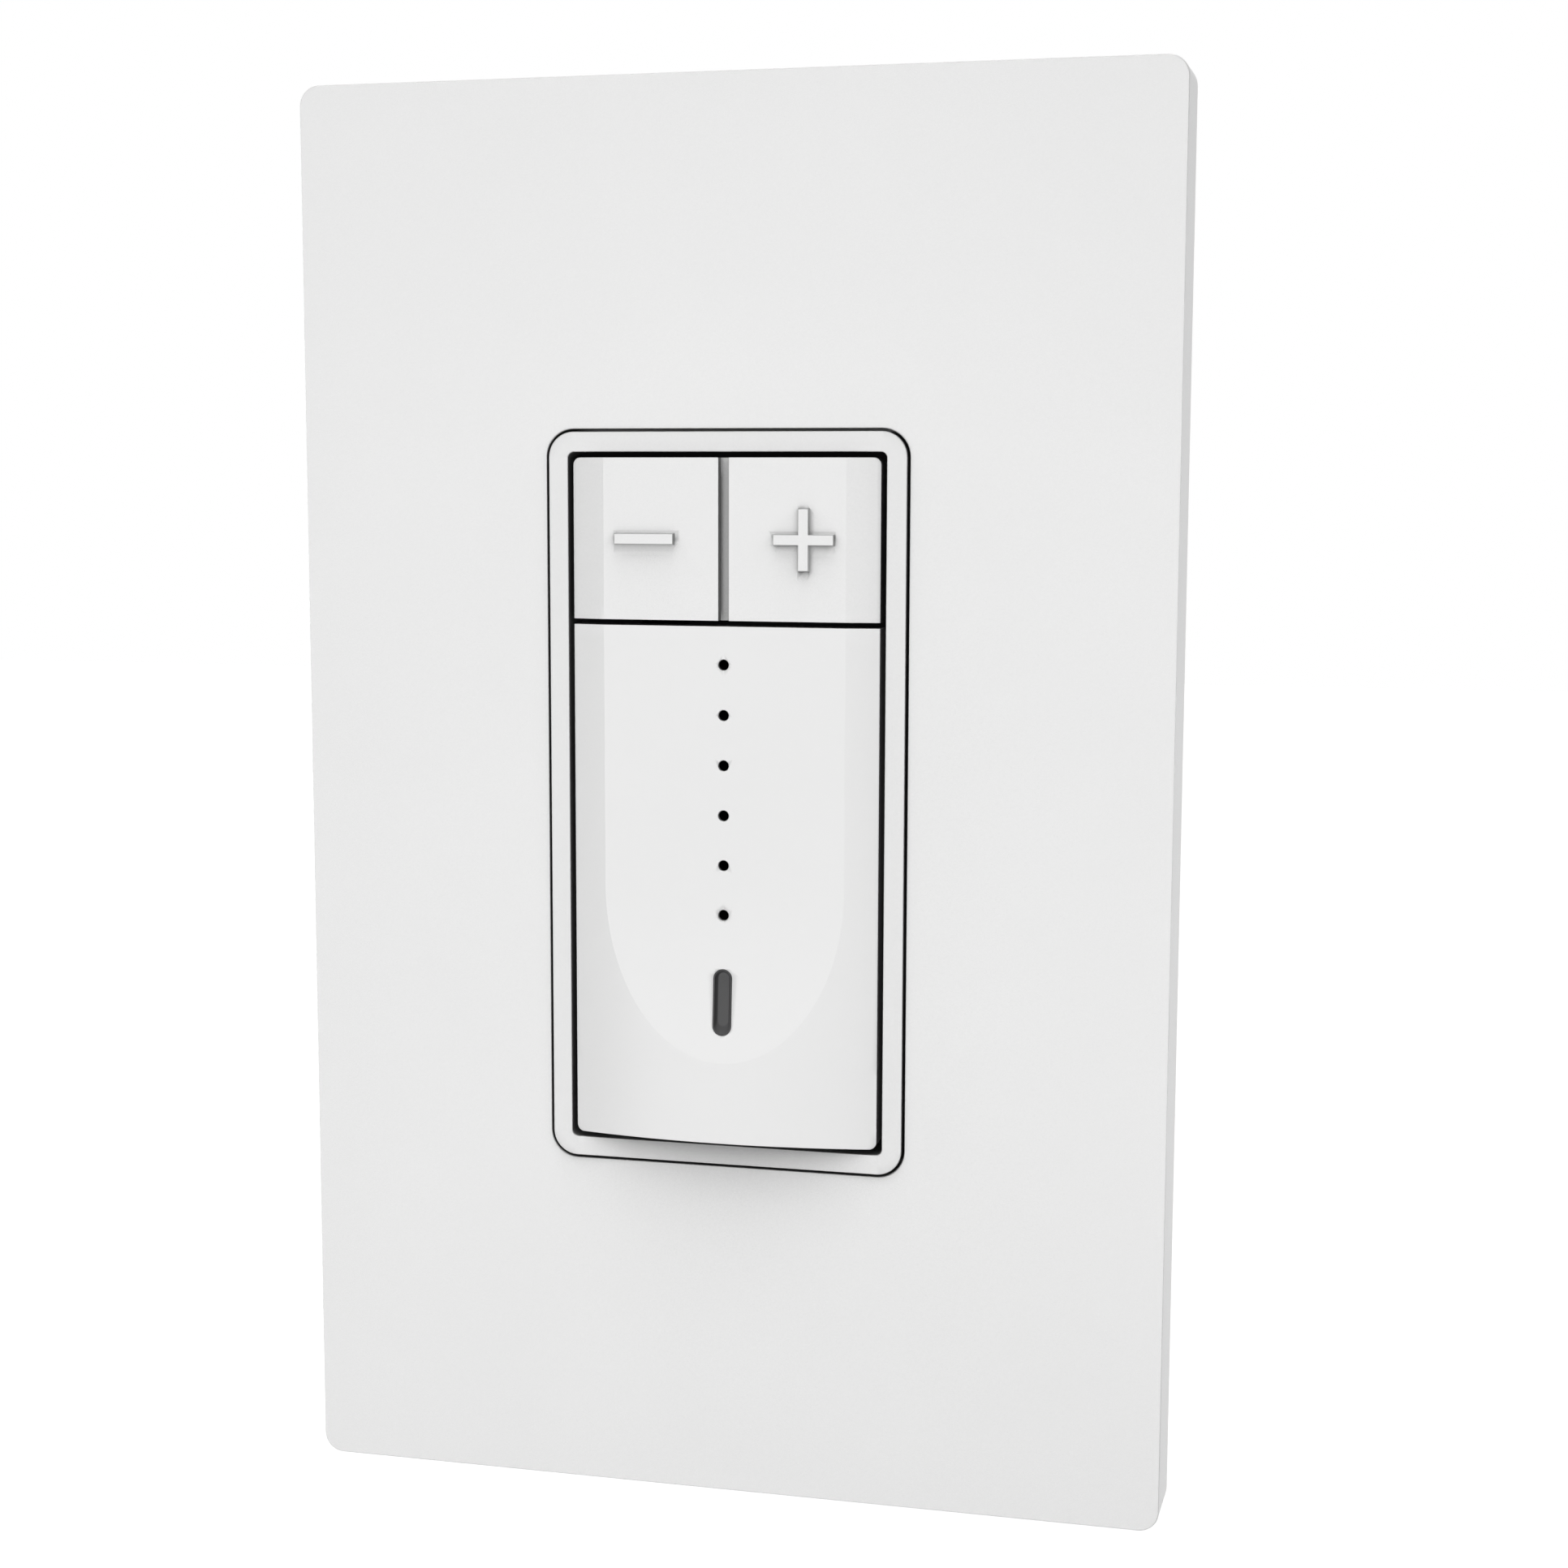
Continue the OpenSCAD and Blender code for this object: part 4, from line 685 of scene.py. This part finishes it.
def keyMesh(name, low, high, skirt, heights, columnsAt):
    bm = bmesh.new()
    front = bm.verts.layers.bool.new("front")
    rows = []
    for z in heights:
        row = []
        for x, y in columnsAt(z):       # no depth means that the face's rule gives it
            vert = bm.verts.new((x, crestY if y is None else y, z))
            vert[front] = y is None
            row.append(vert)
        rows.append(row)
    for upper, lower in zip(rows, rows[1:]):
        for i in range(len(upper) - 1):
            bm.faces.new((upper[i], upper[i + 1], lower[i + 1], lower[i]))
    leftBack = [bm.verts.new((row[0].co.x, skirt, row[0].co.z)) for row in rows]
    rightBack = [bm.verts.new((row[-1].co.x, skirt, row[-1].co.z)) for row in rows]
    for k in range(len(rows) - 1):
        bm.faces.new((rows[k][0], rows[k + 1][0], leftBack[k + 1], leftBack[k]))
        bm.faces.new((rows[k + 1][-1], rows[k][-1], rightBack[k], rightBack[k + 1]))
    for k in (0, -1):
        bm.faces.new([*rows[k], rightBack[k], leftBack[k]])
    outline = leftBack + rightBack[::-1]
    wall = keyShape["wall"]

    def inward(vert, depth):    # the same spot on the inner wall
        x = max(-keyHalf + wall, min(keyHalf - wall, vert.co.x))
        z = max(low + wall, min(high - wall, vert.co.z))
        return bm.verts.new((x, depth, z))

    rim = [inward(vert, skirt) for vert in outline]
    ceiling = [inward(vert, shellY) for vert in outline]
    bridge(bm, outline, rim)
    bridge(bm, rim, ceiling)
    bm.faces.new(ceiling)
    return cleanMesh(bm, name)


def makeKey(name, low, high, skirt, heights, columnsAt):
    piece = linkMesh(name, keyMesh(name, low, high, skirt, heights, columnsAt))
    useTree(piece, keyFaceRule, Drum_Radius=keyShape["drum"], Crest_Depth=crestY, Flat_Depth=flatY,
            Scoop_Start=runOutZ, Scoop_Radius=keyShape["runOut"], Material=finishes["white_plastic"])
    roundEdges(piece, keyShape["edge"])
    return piece


def addInside(piece, node, low, high):  # the lugs, posts and latches behind a key's face
    gap = keyShape["insideGap"]
    inset = keyShape["wall"] + gap
    right, bottom, top = keyHalf - inset, low + inset, high - inset
    section = [(-right, bottom), (right, bottom), (right, top), (-right, top)]
    depths = (shellY + gap, shellY + keyShape["insideDepth"])
    loops = [[Vector((x, y, z)) for x, z in section] for y in depths]
    inside = linkMesh("inside", copyNode(node))
    combine(inside, loft("room", loops), "INTERSECT")
    bm = bmesh.new()
    bm.from_mesh(piece.data)
    bm.from_mesh(inside.data)
    bmesh.ops.remove_doubles(bm, verts=bm.verts, dist=keyShape["sliver"])
    bmesh.ops.dissolve_degenerate(bm, dist=keyShape["sliver"], edges=bm.edges)
    bm.to_mesh(piece.data)
    bm.free()
    bpy.data.objects.remove(inside)


def markCrease(piece):          # the scoop's edge stays crisp
    mesh = piece.data
    drum = keyShape["drum"]
    near = 0.001 * mm

    def onCrease(co):
        scoop = scoopDepth(co.z)
        barrel = crestY + drum - math.sqrt(drum ** 2 - co.x ** 2)
        return abs(scoop - barrel) < near and abs(co.y - scoop) < near

    crease = [onCrease(vert.co) for vert in mesh.vertices]
    sharp = mesh.attributes["sharp_edge"].data
    for edge in mesh.edges:
        if crease[edge.vertices[0]] and crease[edge.vertices[1]]:
            sharp[edge.index].value = True


# Dim rocker: the short key, with a groove between its minus and its plus
rockerShape = {
    "sign": (5.55 * mm, 1.05 * mm),     # length and width of a bar
    "signX": 7.3 * mm,
    "signDraft": 0.07 * mm,
    "signEdge": 0.03 * mm,
    "groove": (0.97 * mm, 0.8 * mm),    # width, depth
    "skirt": -3.537 * mm,
    "bandColumns": 8,           # beside the scoop
    "flatColumns": 12,          # from the scoop's edge to the groove
    "rows": 12,
}


def barOutline(length, width):
    a, b = length / 2, width / 2
    return [(a, b), (-a, b), (-a, -b), (a, -b)]


def crossOutline(length, width):
    a, b = length / 2, width / 2
    quarter = [(a, -b), (a, b), (b, b)]
    points = []
    for turn in range(4):
        points += quarter
        quarter = [(-z, x) for x, z in quarter]
    return points


def signMesh(outline, place, shape):
    length, width = shape["sign"]
    draft, edge = shape["signDraft"], shape["signEdge"]
    height = keyShape["signHeight"]
    front = flatY - height
    steps = ((0, flatY + height), (0, flatY), (draft, front + edge), (draft + edge, front))
    loops = []
    for inset, depth in steps:
        points = outline(length - 2 * inset, width - 2 * inset)
        loops.append([place + Vector((x, depth, z)) for x, z in points])
    return loft("sign", loops)


def dimRocker(shape):
    low, high = rockerLow.z, rockerHigh.z
    half = shape["groove"][0] / 2
    floor = flatY + shape["groove"][1]
    crease = creaseX(high)

    def columnsAt(z):
        band = evenly(-keyEdgeX(z, high), -crease, shape["bandColumns"])
        flat = evenly(-crease, -half, shape["flatColumns"])[1:]
        left = [(x, None) for x in band + flat]
        middle = [(x, floor) for x in (-half, 0, half)]
        return left + middle + [(-x, y) for x, y in left[::-1]]

    arc = cornerRows()
    heights = [high - d for d in arc] + evenly(high - arc[-1], low, shape["rows"])[1:]
    piece = makeKey("dimRocker", low, high, shape["skirt"], heights, columnsAt)
    for side, outline in ((-1, barOutline), (1, crossOutline)):
        place = Vector((side * shape["signX"], 0, (low + high) / 2))
        combine(piece, signMesh(outline, place, shape), "UNION")
    addInside(piece, "dim_rocker", low, high)
    finishPiece(piece, "rocker", "white_plastic", "dim_rocker", finish=rockerFinish)
    markCrease(piece)


dimRocker(rockerShape)
print("rocker made")


def holeTree():                 # a row of round holes with slightly eased mouths
    tree, given, result = newGeometry("lightHoles", {
        "Count": 6, "Top": (0.0, 0.0, 0.0), "Step": (0.0, 0.0, 0.0), "Radius": 0.48 * mm,
        "Depth": 3 * mm, "Mouth": 0.06 * mm, "Lead": 0.4 * mm, "Wall": 0.45 * mm, "Room": 0.4 * mm})
    row = addNode(tree, "GeometryNodeMeshLine", {
        "Count": given["Count"], "Start Location": given["Top"], "Offset": given["Step"]},
        mode="OFFSET")
    drill = addNode(tree, "GeometryNodeMeshCylinder", {
        "Vertices": 48, "Side Segments": 40, "Radius": given["Radius"], "Depth": given["Depth"]},
        fill_type="NGON")
    spot = spotParts(tree)
    # Height above the face, with the drill's top at the lead
    above = calc(tree, "ADD", spot["Z"], ("SUBTRACT", given["Lead"], ("DIVIDE", given["Depth"], 2.0)))
    flare = calc(tree, "MAXIMUM", ("ADD", above, given["Mouth"]), 0.0)
    # Behind the thin wall there is more room round the light
    behind = calc(tree, "LESS_THAN", above, ("MULTIPLY", given["Wall"], -1.0))
    extra = calc(tree, "ADD", flare, ("MULTIPLY", behind, given["Room"]))
    wider = calc(tree, "ADD", 1.0, ("DIVIDE", extra, given["Radius"]))
    wideX, wideY = (calc(tree, "MULTIPLY", spot[axis], wider) for axis in ("X", "Y"))
    drills = addNode(tree, "GeometryNodeInstanceOnPoints", {
        "Points": row[0], "Instance": moved(tree, drill["Mesh"], wideX, wideY, above),
        "Rotation": (math.pi / 2, 0, 0)})           # the drill's top faces the front
    whole = addNode(tree, "GeometryNodeRealizeInstances", {0: drills[0]})
    cut = addNode(tree, "GeometryNodeMeshBoolean", {"Mesh 1": given["Geometry"], "Mesh 2": whole[0]},
                  operation="DIFFERENCE", solver="EXACT")
    return paintResult(tree, given, result, cut["Mesh"])


lightHoles = holeTree()

# Tap paddle: the long key, with its row of lights and the indicator's slot
paddleShape = {
    "lightRadius": 0.48 * mm,
    "lightCount": 6,
    "lightDrop": 3.43 * mm,     # from the paddle's top to the first light
    "lightStep": 4.515 * mm,
    "slot": (1.75 * mm, 6.05 * mm),
    "slotRise": 12.93 * mm,     # from the paddle's bottom to the slot's middle
    "slotEdge": 0.03 * mm,
    "slotLead": 0.5 * mm,       # how far the cutter reaches past both sides of the face
    "skirt": -3.881 * mm,
    "bandColumns": 22,          # on each side of the scoop
    "scoopColumns": 24,
    "flatRows": 20,
    "runOutRows": 36,
    "crestRows": 8,             # from the scoop's end to the bottom corners
}


def pillLoop(width, length, depth, middle, steps=12):
    radius = 0.49995 * width    # a hair under half, so that no two points meet
    loop = roundedLoop(width, length, radius, depth, steps)
    return [point + Vector((0, 0, middle)) for point in loop]


def onFace(loop, below):        # moves a loop to a depth below the scooped face
    for point in loop:
        point.y = scoopDepth(point.z) + below
    return loop


def tapPaddle(shape):
    low, high = paddleLow.z, paddleHigh.z
    runOut = keyShape["runOut"]
    reach = math.sqrt(runOut ** 2 - (runOut - (flatY - crestY)) ** 2)
    end = runOutZ - reach
    pointed = end + 1e-9        # from here down the scoop has no width

    def columnsAt(z):
        edge = keyEdgeX(z, low)
        crease = creaseX(z) if z > pointed else 0.0
        left = evenly(-edge, -crease, shape["bandColumns"])
        middle = evenly(-crease, crease, shape["scoopColumns"])[1:-1]
        return [(x, None) for x in left + middle + [-x for x in left[::-1]]]

    arc = cornerRows()
    rows = shape["runOutRows"]
    heights = evenly(high, runOutZ, shape["flatRows"])[:-1]
    heights += [runOutZ - reach * math.sin(math.pi / 2 * i / rows) for i in range(rows + 1)]
    heights += evenly(end, low + arc[-1], shape["crestRows"])[1:-1]
    heights += [low + d for d in arc[::-1]]
    piece = makeKey("tapPaddle", low, high, shape["skirt"], heights, columnsAt)
    useTree(piece, lightHoles, Count=shape["lightCount"], Top=(0, flatY, high - shape["lightDrop"]),
            Step=(0, 0, -shape["lightStep"]), Radius=shape["lightRadius"],
            Material=finishes["white_plastic"])
    middle = low + shape["slotRise"]
    width, length = shape["slot"]
    edge, lead = shape["slotEdge"], shape["slotLead"]
    flare = 2 * (edge + lead)
    loops = [
        onFace(pillLoop(width + flare, length + flare, 0, middle), -lead),
        onFace(pillLoop(width, length, 0, middle), edge),
        pillLoop(width, length, shellY + lead, middle),
    ]
    combine(piece, loft("slotCutter", loops), "DIFFERENCE")
    addInside(piece, "tap_paddle", low, high)
    finishPiece(piece, "paddle", "white_plastic", "tap_paddle", finish=paddleFinish)
    markCrease(piece)


tapPaddle(paddleShape)
print("paddle made")

# Indicator lens: a dished smoked pill with a flange behind the face
lensShape = {
    "gap": 0.05 * mm,
    "flangeThick": 0.7 * mm,
    "sink": 0.04 * mm,          # of the rim below the face
    "rim": 0.08 * mm,
    "slope": 0.26 * mm,
    "dish": 0.4 * mm,
    "ease": 1.6,                # over 1, the dish is steepest at its rim
    "curl": 0.55 * mm,          # how much longer the dish's lower end is
    "turns": 10,
}


def indicatorLens(shape):
    low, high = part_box("indicator_lens")
    middle = (low.z + high.z) / 2
    width, length = (size - 2 * shape["gap"] for size in paddleShape["slot"])
    step = high.y - shape["flangeThick"]
    flange = (high.x - low.x, high.z - low.z)

    def dished(inset, share):       # a loop of the dish, from its rim at 0 to its floor at 1
        curl = shape["curl"] * share
        loop = pillLoop(width - 2 * inset, length - 2 * inset - curl, 0, middle + curl / 2)
        eased = 1 - (1 - share) ** shape["ease"]
        return onFace(loop, shape["sink"] + shape["dish"] * eased)

    loops = [
        pillLoop(*flange, high.y, middle),
        pillLoop(*flange, step, middle),
        pillLoop(width, length, step, middle),
        dished(0, 0),
    ]
    for share in evenly(0, 1, shape["turns"]):
        loops.append(dished(shape["rim"] + shape["slope"] * share, share))
    piece = linkMesh("indicatorLens", loft("indicatorLens", loops))
    finishPiece(piece, "paddle", "smoked_lens", "indicator_lens", sharp=40)


indicatorLens(lensShape)
print("lens made")

# Solids that keep their shape and get rounded edges
slotOf = {part["node"]: part["material_slot"] for part in frame["record"]["subparts"]}
easedEdges = {                  # node, new piece, edge radius
    "mounting_subplate": ("mountingSubplate", 0.2 * mm),
    "mounting_strap": ("mountingStrap", 0.15 * mm),
    "key_carrier": ("keyCarrier", 0.08 * mm),
    "rear_housing": ("rearHousing", 0.25 * mm),
    "terminal_plates": ("terminalPlates", 0.1 * mm),
    "pressure_plates": ("pressurePlates", 0.1 * mm),
}
ownFinish = {"key_carrier": carrierBlackAndShade}
for node, (name, width) in easedEdges.items():
    piece = linkMesh(name, copyNode(node))
    roundEdges(piece, width, 2)
    finishPiece(piece, "base", slotOf[node], node, finish=ownFinish.get(node))
print("eased pieces made:", len(easedEdges))

# Screws: one rule for all of them, set on the places and lengths of their solids
screwKinds = {
    # Aim, head height, shank radius, pitch, head sides, neck length and neck radius
    "box_screws": ((0, 1, 0), 2.0 * mm, 1.75 * mm, 0.8 * mm, 48, 1.5 * mm, 1.5 * mm),
    "subplate_screws": ((0, 1, 0), 1.0 * mm, 1.75 * mm, 0.8 * mm, 48, 0.0, 1.75 * mm),
    "frame_screws": ((0, 1, 0), 1.2 * mm, 1.2 * mm, 0.6 * mm, 48, 0.0, 1.2 * mm),
    "board_screws": ((0, -1, 0), 1.1 * mm, 0.75 * mm, 0.4 * mm, 40, 0.0, 0.75 * mm),
    "power_board_screws": ((0, 1, 0), 1.1 * mm, 0.75 * mm, 0.4 * mm, 40, 0.0, 0.75 * mm),
    "triac_screw": ((0, -1, 0), 1.8 * mm, 1.25 * mm, 0.5 * mm, 48, 0.0, 1.25 * mm),
    "ground_screw": ((0, -1, 0), 2.6 * mm, 1.75 * mm, 0.8 * mm, 6, 0.0, 1.75 * mm),
    "terminal_screws": ("inward", 1.5 * mm, 1.75 * mm, 0.8 * mm, 48, 0.0, 1.75 * mm),
}
screwShape = {
    "shankSides": 20,
    "turnRings": 5.0,           # rings of points in one turn of the thread
    "ridge": 0.45,              # depth of the thread, as a share of the pitch
    "tip": 0.7,                 # width of the shank's end, as a share of the shank
    "dome": 0.4,                # share of the head's height that is rounded
    "headRings": 6,
    "slotWidth": 0.9 * mm,
    "slotLimit": 0.4,           # of the head's radius
    "bladeLength": 2.6,         # of the head's radius
}


def screwTree(shape):
    tree, given, result = newGeometry("slottedScrews", {
        "Head Radius": 3 * mm, "Head Height": 2 * mm, "Head Sides": 48, "Shank Radius": 1.75 * mm,
        "Length": 20 * mm, "Pitch": 0.8 * mm, "Neck": 0.0, "Neck Radius": 1.5 * mm,
        "Slot Width": 0.9 * mm})
    length, pitch = given["Length"], given["Pitch"]
    headRadius, headHeight = given["Head Radius"], given["Head Height"]

    # Shank: a helix of shallow ridges after the plain neck, narrower at the tip
    rings = calc(tree, "MULTIPLY", ("DIVIDE", length, pitch), shape["turnRings"])
    shank = addNode(tree, "GeometryNodeMeshCylinder", {
        "Vertices": shape["shankSides"], "Side Segments": rings, "Radius": given["Shank Radius"],
        "Depth": length}, fill_type="NGON")
    x, y, z = spotParts(tree)
    along = calc(tree, "ADD", z, ("DIVIDE", length, 2.0))
    turn = calc(tree, "DIVIDE", ("ARCTAN2", y, x), 2 * math.pi)
    phase = calc(tree, "SUBTRACT", ("DIVIDE", along, pitch), turn)
    ridge = calc(tree, "MULTIPLY", ("PINGPONG", phase, 0.5), 2.0)
    depth = calc(tree, "DIVIDE", ("MULTIPLY", pitch, shape["ridge"]), given["Shank Radius"])
    threaded = calc(tree, "SUBTRACT", 1.0, ("MULTIPLY", ridge, depth))
    inNeck = calc(tree, "LESS_THAN", along, given["Neck"])
    plain = calc(tree, "DIVIDE", given["Neck Radius"], given["Shank Radius"])
    scale = calc(tree, "ADD", ("MULTIPLY", inNeck, plain),
                 ("MULTIPLY", ("SUBTRACT", 1.0, inNeck), threaded))
    toTip = calc(tree, "DIVIDE", ("SUBTRACT", length, along), pitch)
    scale = calc(tree, "MULTIPLY", scale, spread(tree, toTip, shape["tip"], 1.0))
    scaledX, scaledY = (calc(tree, "MULTIPLY", side, scale) for side in (x, y))
    body = moved(tree, shank["Mesh"], scaledX, scaledY, along)

    # Head: a low dome with a slot across it
    head = addNode(tree, "GeometryNodeMeshCylinder", {
        "Vertices": given["Head Sides"], "Side Segments": 1, "Fill Segments": shape["headRings"],
        "Radius": headRadius, "Depth": headHeight}, fill_type="TRIANGLE_FAN")
    x, y, z = spotParts(tree)
    reach = calc(tree, "ADD", ("MULTIPLY", x, x), ("MULTIPLY", y, y))
    share = calc(tree, "DIVIDE", reach, ("MULTIPLY", headRadius, headRadius))
    outer = calc(tree, "LESS_THAN", z, 0.0)
    drop = calc(tree, "MULTIPLY", ("MULTIPLY", share, outer), ("MULTIPLY", headHeight, shape["dome"]))
    height = calc(tree, "SUBTRACT", ("ADD", z, drop), ("DIVIDE", headHeight, 2.0))
    domed = moved(tree, head["Mesh"], x, y, height)
    bladeLength = calc(tree, "MULTIPLY", headRadius, shape["bladeLength"])
    blade = addNode(tree, "GeometryNodeMeshCube", {
        "Size": joinVector(tree, bladeLength, given["Slot Width"], headHeight)})
    x, y, z = spotParts(tree)
    cutter = moved(tree, blade["Mesh"], x, y, calc(tree, "SUBTRACT", z, headHeight))
    slotted = addNode(tree, "GeometryNodeMeshBoolean", {"Mesh 1": domed, "Mesh 2": cutter},
                      operation="DIFFERENCE", solver="EXACT")
    screw = addNode(tree, "GeometryNodeJoinGeometry", {0: [slotted["Mesh"], body]})

    aim = addNode(tree, "GeometryNodeInputNamedAttribute", {"Name": "aim"}, data_type="FLOAT_VECTOR")
    facing = addNode(tree, "FunctionNodeAlignRotationToVector", {"Vector": aim["Attribute"]}, axis="Z")
    screws = addNode(tree, "GeometryNodeInstanceOnPoints", {
        "Points": given["Geometry"], "Instance": screw[0], "Rotation": facing[0]})
    return paintResult(tree, given, result, screws[0])


slottedScrews = screwTree(screwShape)


def solidBoxes(node):           # the box of each separate solid in a node
    bm = weldedNode(node)
    left = set(bm.verts)
    boxes = []
    for start in bm.verts:
        if start not in left:
            continue
        left.remove(start)
        waiting, found = [start], []
        while waiting:
            vert = waiting.pop()
            found.append(vert.co.copy())
            for edge in vert.link_edges:
                other = edge.other_vert(vert)
                if other in left:
                    left.remove(other)
                    waiting.append(other)
        boxes.append([Vector([pick(co[k] for co in found) for k in range(3)]) for pick in (min, max)])
    bm.free()
    return boxes


def makeScrews(node, aim, headHeight, shank, pitch, sides, neck, neckRadius):
    spots, aims = [], []
    for low, high in solidBoxes(node):
        middle = (low + high) / 2
        way = Vector((-1 if middle.x > 0 else 1, 0, 0)) if aim == "inward" else Vector(aim)
        size = high - low
        along = [k for k in range(3) if way[k]][0]
        headRadius = max(size[k] for k in range(3) if k != along) / 2
        length = size[along] - headHeight
        seat = middle.copy()
        seat[along] = (low[along] if way[along] > 0 else high[along]) + way[along] * headHeight
        spots.append(seat)
        aims.append(way)
    mesh = bpy.data.meshes.new(node)
    mesh.from_pydata(spots, [], [])
    attribute = mesh.attributes.new("aim", "FLOAT_VECTOR", "POINT")
    attribute.data.foreach_set("vector", [value for way in aims for value in way])
    words = node.split("_")
    piece = linkMesh(words[0] + "".join(word.title() for word in words[1:]), mesh)
    slotWidth = min(screwShape["slotWidth"], headRadius * screwShape["slotLimit"])
    useTree(piece, slottedScrews, Head_Radius=headRadius, Head_Height=headHeight, Head_Sides=sides,
            Shank_Radius=shank, Length=length, Pitch=pitch, Neck=neck, Neck_Radius=neckRadius,
            Slot_Width=slotWidth, Material=finishes[slotOf[node]])
    finishPiece(piece, "base", slotOf[node], node)


for node, kind in screwKinds.items():
    makeScrews(node, *kind)
print("screws made:", len(screwKinds), "kinds")

# Rubber domes under the keys, made at rest; the real ones flatten when a key is pressed
domeShape = {
    "foot": 0.35 * mm,
    "topRadius": 1.4 * mm,
    "topThick": 0.6 * mm,
    "round": 0.15 * mm,
    "dimple": (0.6, 0.5),       # shares of the top's radius, at the rim and at the floor
}
domeKinds = {                   # new piece, node, joint, share of the height kept at the joint's end
    "paddleDomes": ("paddle_domes", "paddle_press", 0.62),
    "rockerDomes": ("rocker_domes", "rocker_tilt", 0.83),
}


def domeProfile(shape, footRadius, tip, back):
    top, soft = shape["topRadius"], shape["round"]
    foot = back - shape["foot"]
    neck = tip + shape["topThick"]
    rim, floor = shape["dimple"]
    return [
        (0, back), (footRadius, back), (footRadius, foot), (footRadius - soft, foot - soft),
        (top + 2 * soft, neck + 2 * soft), (top, neck), (top, tip + soft), (top - soft, tip),
        (top * rim, tip), (top * floor, tip + soft), (0, tip + soft),
    ]


def rubberDomes(name, node, joint, keep, shape):
    bm = bmesh.new()
    for low, high in solidBoxes(node):
        dome = turned(domeProfile(shape, (high.x - low.x) / 2, low.y, high.y))
        middle = (low + high) / 2
        bm.from_mesh(placed(dome, (middle.x, 0, middle.z)))
    piece = linkMesh(name, cleanMesh(bm, name))
    finishPiece(piece, "base", "dome_rubber", node, sharp=50, even=False)
    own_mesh(piece)


for name, kind in domeKinds.items():
    rubberDomes(name, *kind, domeShape)
print("domes made")

for node, piece in nodes.items():      # what stays as the solids are
    if not piece.hide_render:
        piece.data.materials.clear()
        piece.data.materials.append(finishes[slotOf[node]])

# Floor, sky and lamps
white = (1, 1, 1, 1)
studio = {
    "floorZ": -0.45,
    "floorSize": 12.0,
    "floorTone": 0.5,
    "floorRough": 0.9,
    "glow": (0.72, 0.95),       # near and far
    "fade": (0.5, 1.5),         # where near ends and far starts
    "sky": 0.10,
    "lamps": {                  # place, width, height and power
        "frontLamp": ((-0.105, -0.80, -0.04), 0.77, 0.74, 4.8),
        "topLamp": ((-0.05, -0.12, 0.85), 0.50, 0.50, 4.7),
        "rightLamp": ((0.90, 0.60, -0.10), 1.30, 0.60, 3.8),
        "leftLamp": ((-0.90, 0.60, -0.10), 1.30, 0.60, 4.4),
    },
}


def seenDirectly(tree):         # 1 for rays from the eye, from gloss and through glass
    path = addNode(tree, "ShaderNodeLightPath")
    either = calc(tree, "MAXIMUM", path["Is Camera Ray"], path["Is Glossy Ray"])
    return calc(tree, "MAXIMUM", either, path["Is Transmission Ray"])


def makeFloor(look):
    half = look["floorSize"] / 2
    corners = ((-half, -half), (half, -half), (half, half), (-half, half))
    bm = bmesh.new()
    bm.faces.new([bm.verts.new((x, y, look["floorZ"])) for x, y in corners])
    floor = linkMesh("floor", cleanMesh(bm, "floor"))
    material, tree, shader = startMaterial("paleFloor")
    shader.inputs["Base Color"].default_value = rgba([look["floorTone"]] * 3)
    shader.inputs["Roughness"].default_value = look["floorRough"]
    # Far off the floor is as white as the sky; near the object it is plain enough to show a shadow
    away = vectorCalc(tree, "LENGTH", addNode(tree, "ShaderNodeTexCoord")["Object"])
    glow = spread(tree, away, *look["glow"], *look["fade"])
    shader.inputs["Emission Color"].default_value = white
    feed(tree, shader.inputs["Emission Strength"], calc(tree, "MULTIPLY", seenDirectly(tree), glow))
    floor.data.materials.append(material)


def makeSky(level):
    world = bpy.data.worlds.new("sky")
    scene.world = world
    world.use_nodes = True
    tree = world.node_tree
    tree.nodes.clear()
    soft, full = (addNode(tree, "ShaderNodeBackground", {"Color": white, "Strength": strength})[0]
                  for strength in (level, 1.0))
    both = addNode(tree, "ShaderNodeMixShader", {0: seenDirectly(tree), 1: soft, 2: full})
    addNode(tree, "ShaderNodeOutputWorld", {0: both[0]})


def makeLamp(name, place, width, height, power):
    data = bpy.data.lights.new(name, "AREA")
    data.shape = "RECTANGLE"
    data.size = width
    data.size_y = height
    data.energy = power
    lamp = bpy.data.objects.new(name, data)
    scene.collection.objects.link(lamp)
    lamp.location = place
    lamp.rotation_euler = (-Vector(place)).to_track_quat("-Z", "Y").to_euler()


makeFloor(studio)
makeSky(studio["sky"])
for name, setting in studio["lamps"].items():
    makeLamp(name, *setting)
print("floor, sky and lamps made")
